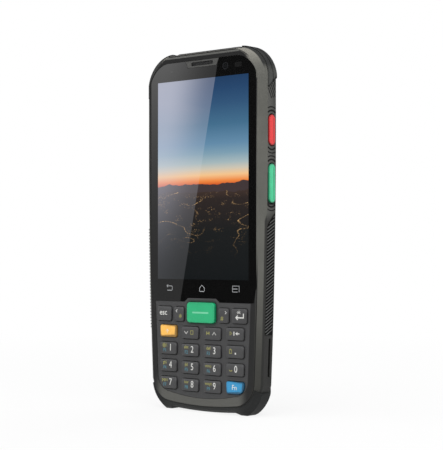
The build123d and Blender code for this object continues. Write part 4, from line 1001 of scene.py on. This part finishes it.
def addStagePlane(name, corners, material):
    bm = bmesh.new()
    bm.faces.new([bm.verts.new(corner) for corner in corners])
    mesh = bpy.data.meshes.new(name)
    bm.to_mesh(mesh)
    bm.free()
    mesh.materials.append(material)
    plane = bpy.data.objects.new(name, mesh)
    bpy.context.scene.collection.objects.link(plane)
    return plane


whiteRays = ("Is Camera Ray", "Is Glossy Ray", "Is Transmission Ray")
floorLook = {"reach": 4.0, "colour": 0.8, "whiteShare": 0.84, "near": 0.12, "far": 0.55}
floorMaterial = bpy.data.materials.new("floor")
floor = Tree(floorMaterial)
distance = floor.add("ShaderNodeVectorMath", {"operation": "LENGTH"},
                     floor.add("ShaderNodeTexCoord", {}, out="Object"), out="Value")
spread = floor.add("ShaderNodeMapRange", {}, distance, floorLook["near"], floorLook["far"], floorLook["whiteShare"])
matt = floor.add("ShaderNodeBsdfDiffuse", {}, (*(floorLook["colour"],) * 3, 1))
bright = floor.add("ShaderNodeEmission", {}, Strength=1.0)
share = floor.rays(*whiteRays) * spread  # the floor turns plain white away from the object
floor.add("ShaderNodeOutputMaterial", {}, floor.add("ShaderNodeMixShader", {}, share, matt, bright))
reach = floorLook["reach"]
addStagePlane("floor", [(-reach, -reach, 0), (reach, -reach, 0), (reach, reach, 0), (-reach, reach, 0)],
              floorMaterial)

worldLook = {"fill": 0.55}
world = bpy.data.worlds.new("studio")
bpy.context.scene.world = world
sky = Tree(world)
level = sky.add("ShaderNodeMapRange", {}, sky.rays(*whiteRays), 0.0, 1.0, worldLook["fill"])
sky.add("ShaderNodeOutputWorld", {}, sky.add("ShaderNodeBackground", {}, (1, 1, 1, 1), level))

lampLook = {  # place, size and power
    "top": ((0.25, -0.45, 1.05), 0.9, 7.5), "left": ((-1.0, -0.75, 0.55), 0.8, 3.0),
    "right": ((1.05, -0.35, 0.45), 0.7, 3.0), "back": ((0.1, 1.1, 0.6), 0.9, 3.5),
}
lampTarget = Vector((0, 0, 0.08))
for name, (place, size, power) in lampLook.items():
    data = bpy.data.lights.new(name, "AREA")
    data.size = size
    data.energy = power
    lamp = bpy.data.objects.new(name + "_lamp", data)
    lamp.location = place
    lamp.rotation_euler = (lampTarget - lamp.location).to_track_quat("-Z", "Y").to_euler()
    bpy.context.scene.collection.objects.link(lamp)
    lamp.visible_glossy = False

# Cards that the glass mirrors: a pale one whose edge gives the slanted streak, and dark ones behind and beside it
cardLook = {"away": 1.2, "left": -62 * mm, "right": 70 * mm, "low": 38 * mm, "high": 175 * mm, "bright": 1.8,
            "dim": 0.5, "behind": 8 * mm, "foot": 45 * mm, "rise": 110 * mm, "curve": 2.2, "fade": 32 * mm,
            "edge": 0.12, "dark": 0.02, "sideNear": (-1.3, 0.25), "sideFar": (-0.35, 1.1), "sideZ": (-0.2, 1.3)}


def mirrored(x, z, extra=0.0):  # where the sight line over a point of the glass goes on to
    eye = camera.location
    point = Vector((x, glassBox[0].y, z))
    mirroredEye = Vector((eye.x, 2 * glassBox[0].y - eye.y, eye.z))
    return point + (point - mirroredEye) * cardLook["away"] - Vector((0, extra, 0))


def cardFinish(name):  # a card that glows; gives its coordinates as points of the glass
    finish = Finish(name, baseColor=grey(0), roughness=1.0, specularIorLevel=0.0, emissionStrength=1.0)
    x, y, z = finish.axes()
    away = cardLook["away"]
    return finish, (x + camera.location.x * away) / (1 + away), (z + camera.location.z * away) / (1 + away)


paleCard, x, z = cardFinish("Pale card")
rise = ((z - cardLook["foot"]) / cardLook["rise"]).maths("MAXIMUM", 0.0).maths("POWER", cardLook["curve"])
fade = paleCard.fit(streakAt(z) - x, 0.0, cardLook["fade"], cardLook["edge"], 1.0)
paleCard.set("emissionColor", rise * fade * cardLook["bright"] + cardLook["dim"])
darkCard, x, z = cardFinish("Dark card")
darkCard.set("emissionColor", darkCard.fit(z, 0.0, 1.0, cardLook["dark"], cardLook["dark"] * 2))
left, right, low, high = (cardLook[side] for side in ("left", "right", "low", "high"))
near, far, (foot, head) = cardLook["sideNear"], cardLook["sideFar"], cardLook["sideZ"]
cards = {
    "pale_card": (paleCard, [mirrored(left, low), mirrored(streakAt(low), low), mirrored(streakAt(high), high),
                             mirrored(left, high)]),
    "dark_card": (darkCard, [mirrored(x, z, cardLook["behind"])
                             for x, z in ((left, low), (right, low), (right, high), (left, high))]),
    "side_card": (darkCard, [(*near, foot), (*far, foot), (*far, head), (*near, head)]),
}
for name, (finish, corners) in cards.items():
    card = addStagePlane(name, corners, finish.material)
    card.visible_camera = False
    card.visible_diffuse = False
    card.visible_shadow = False
bpy.context.scene.view_settings.view_transform = "Standard"
print("stage: camera, floor and light")
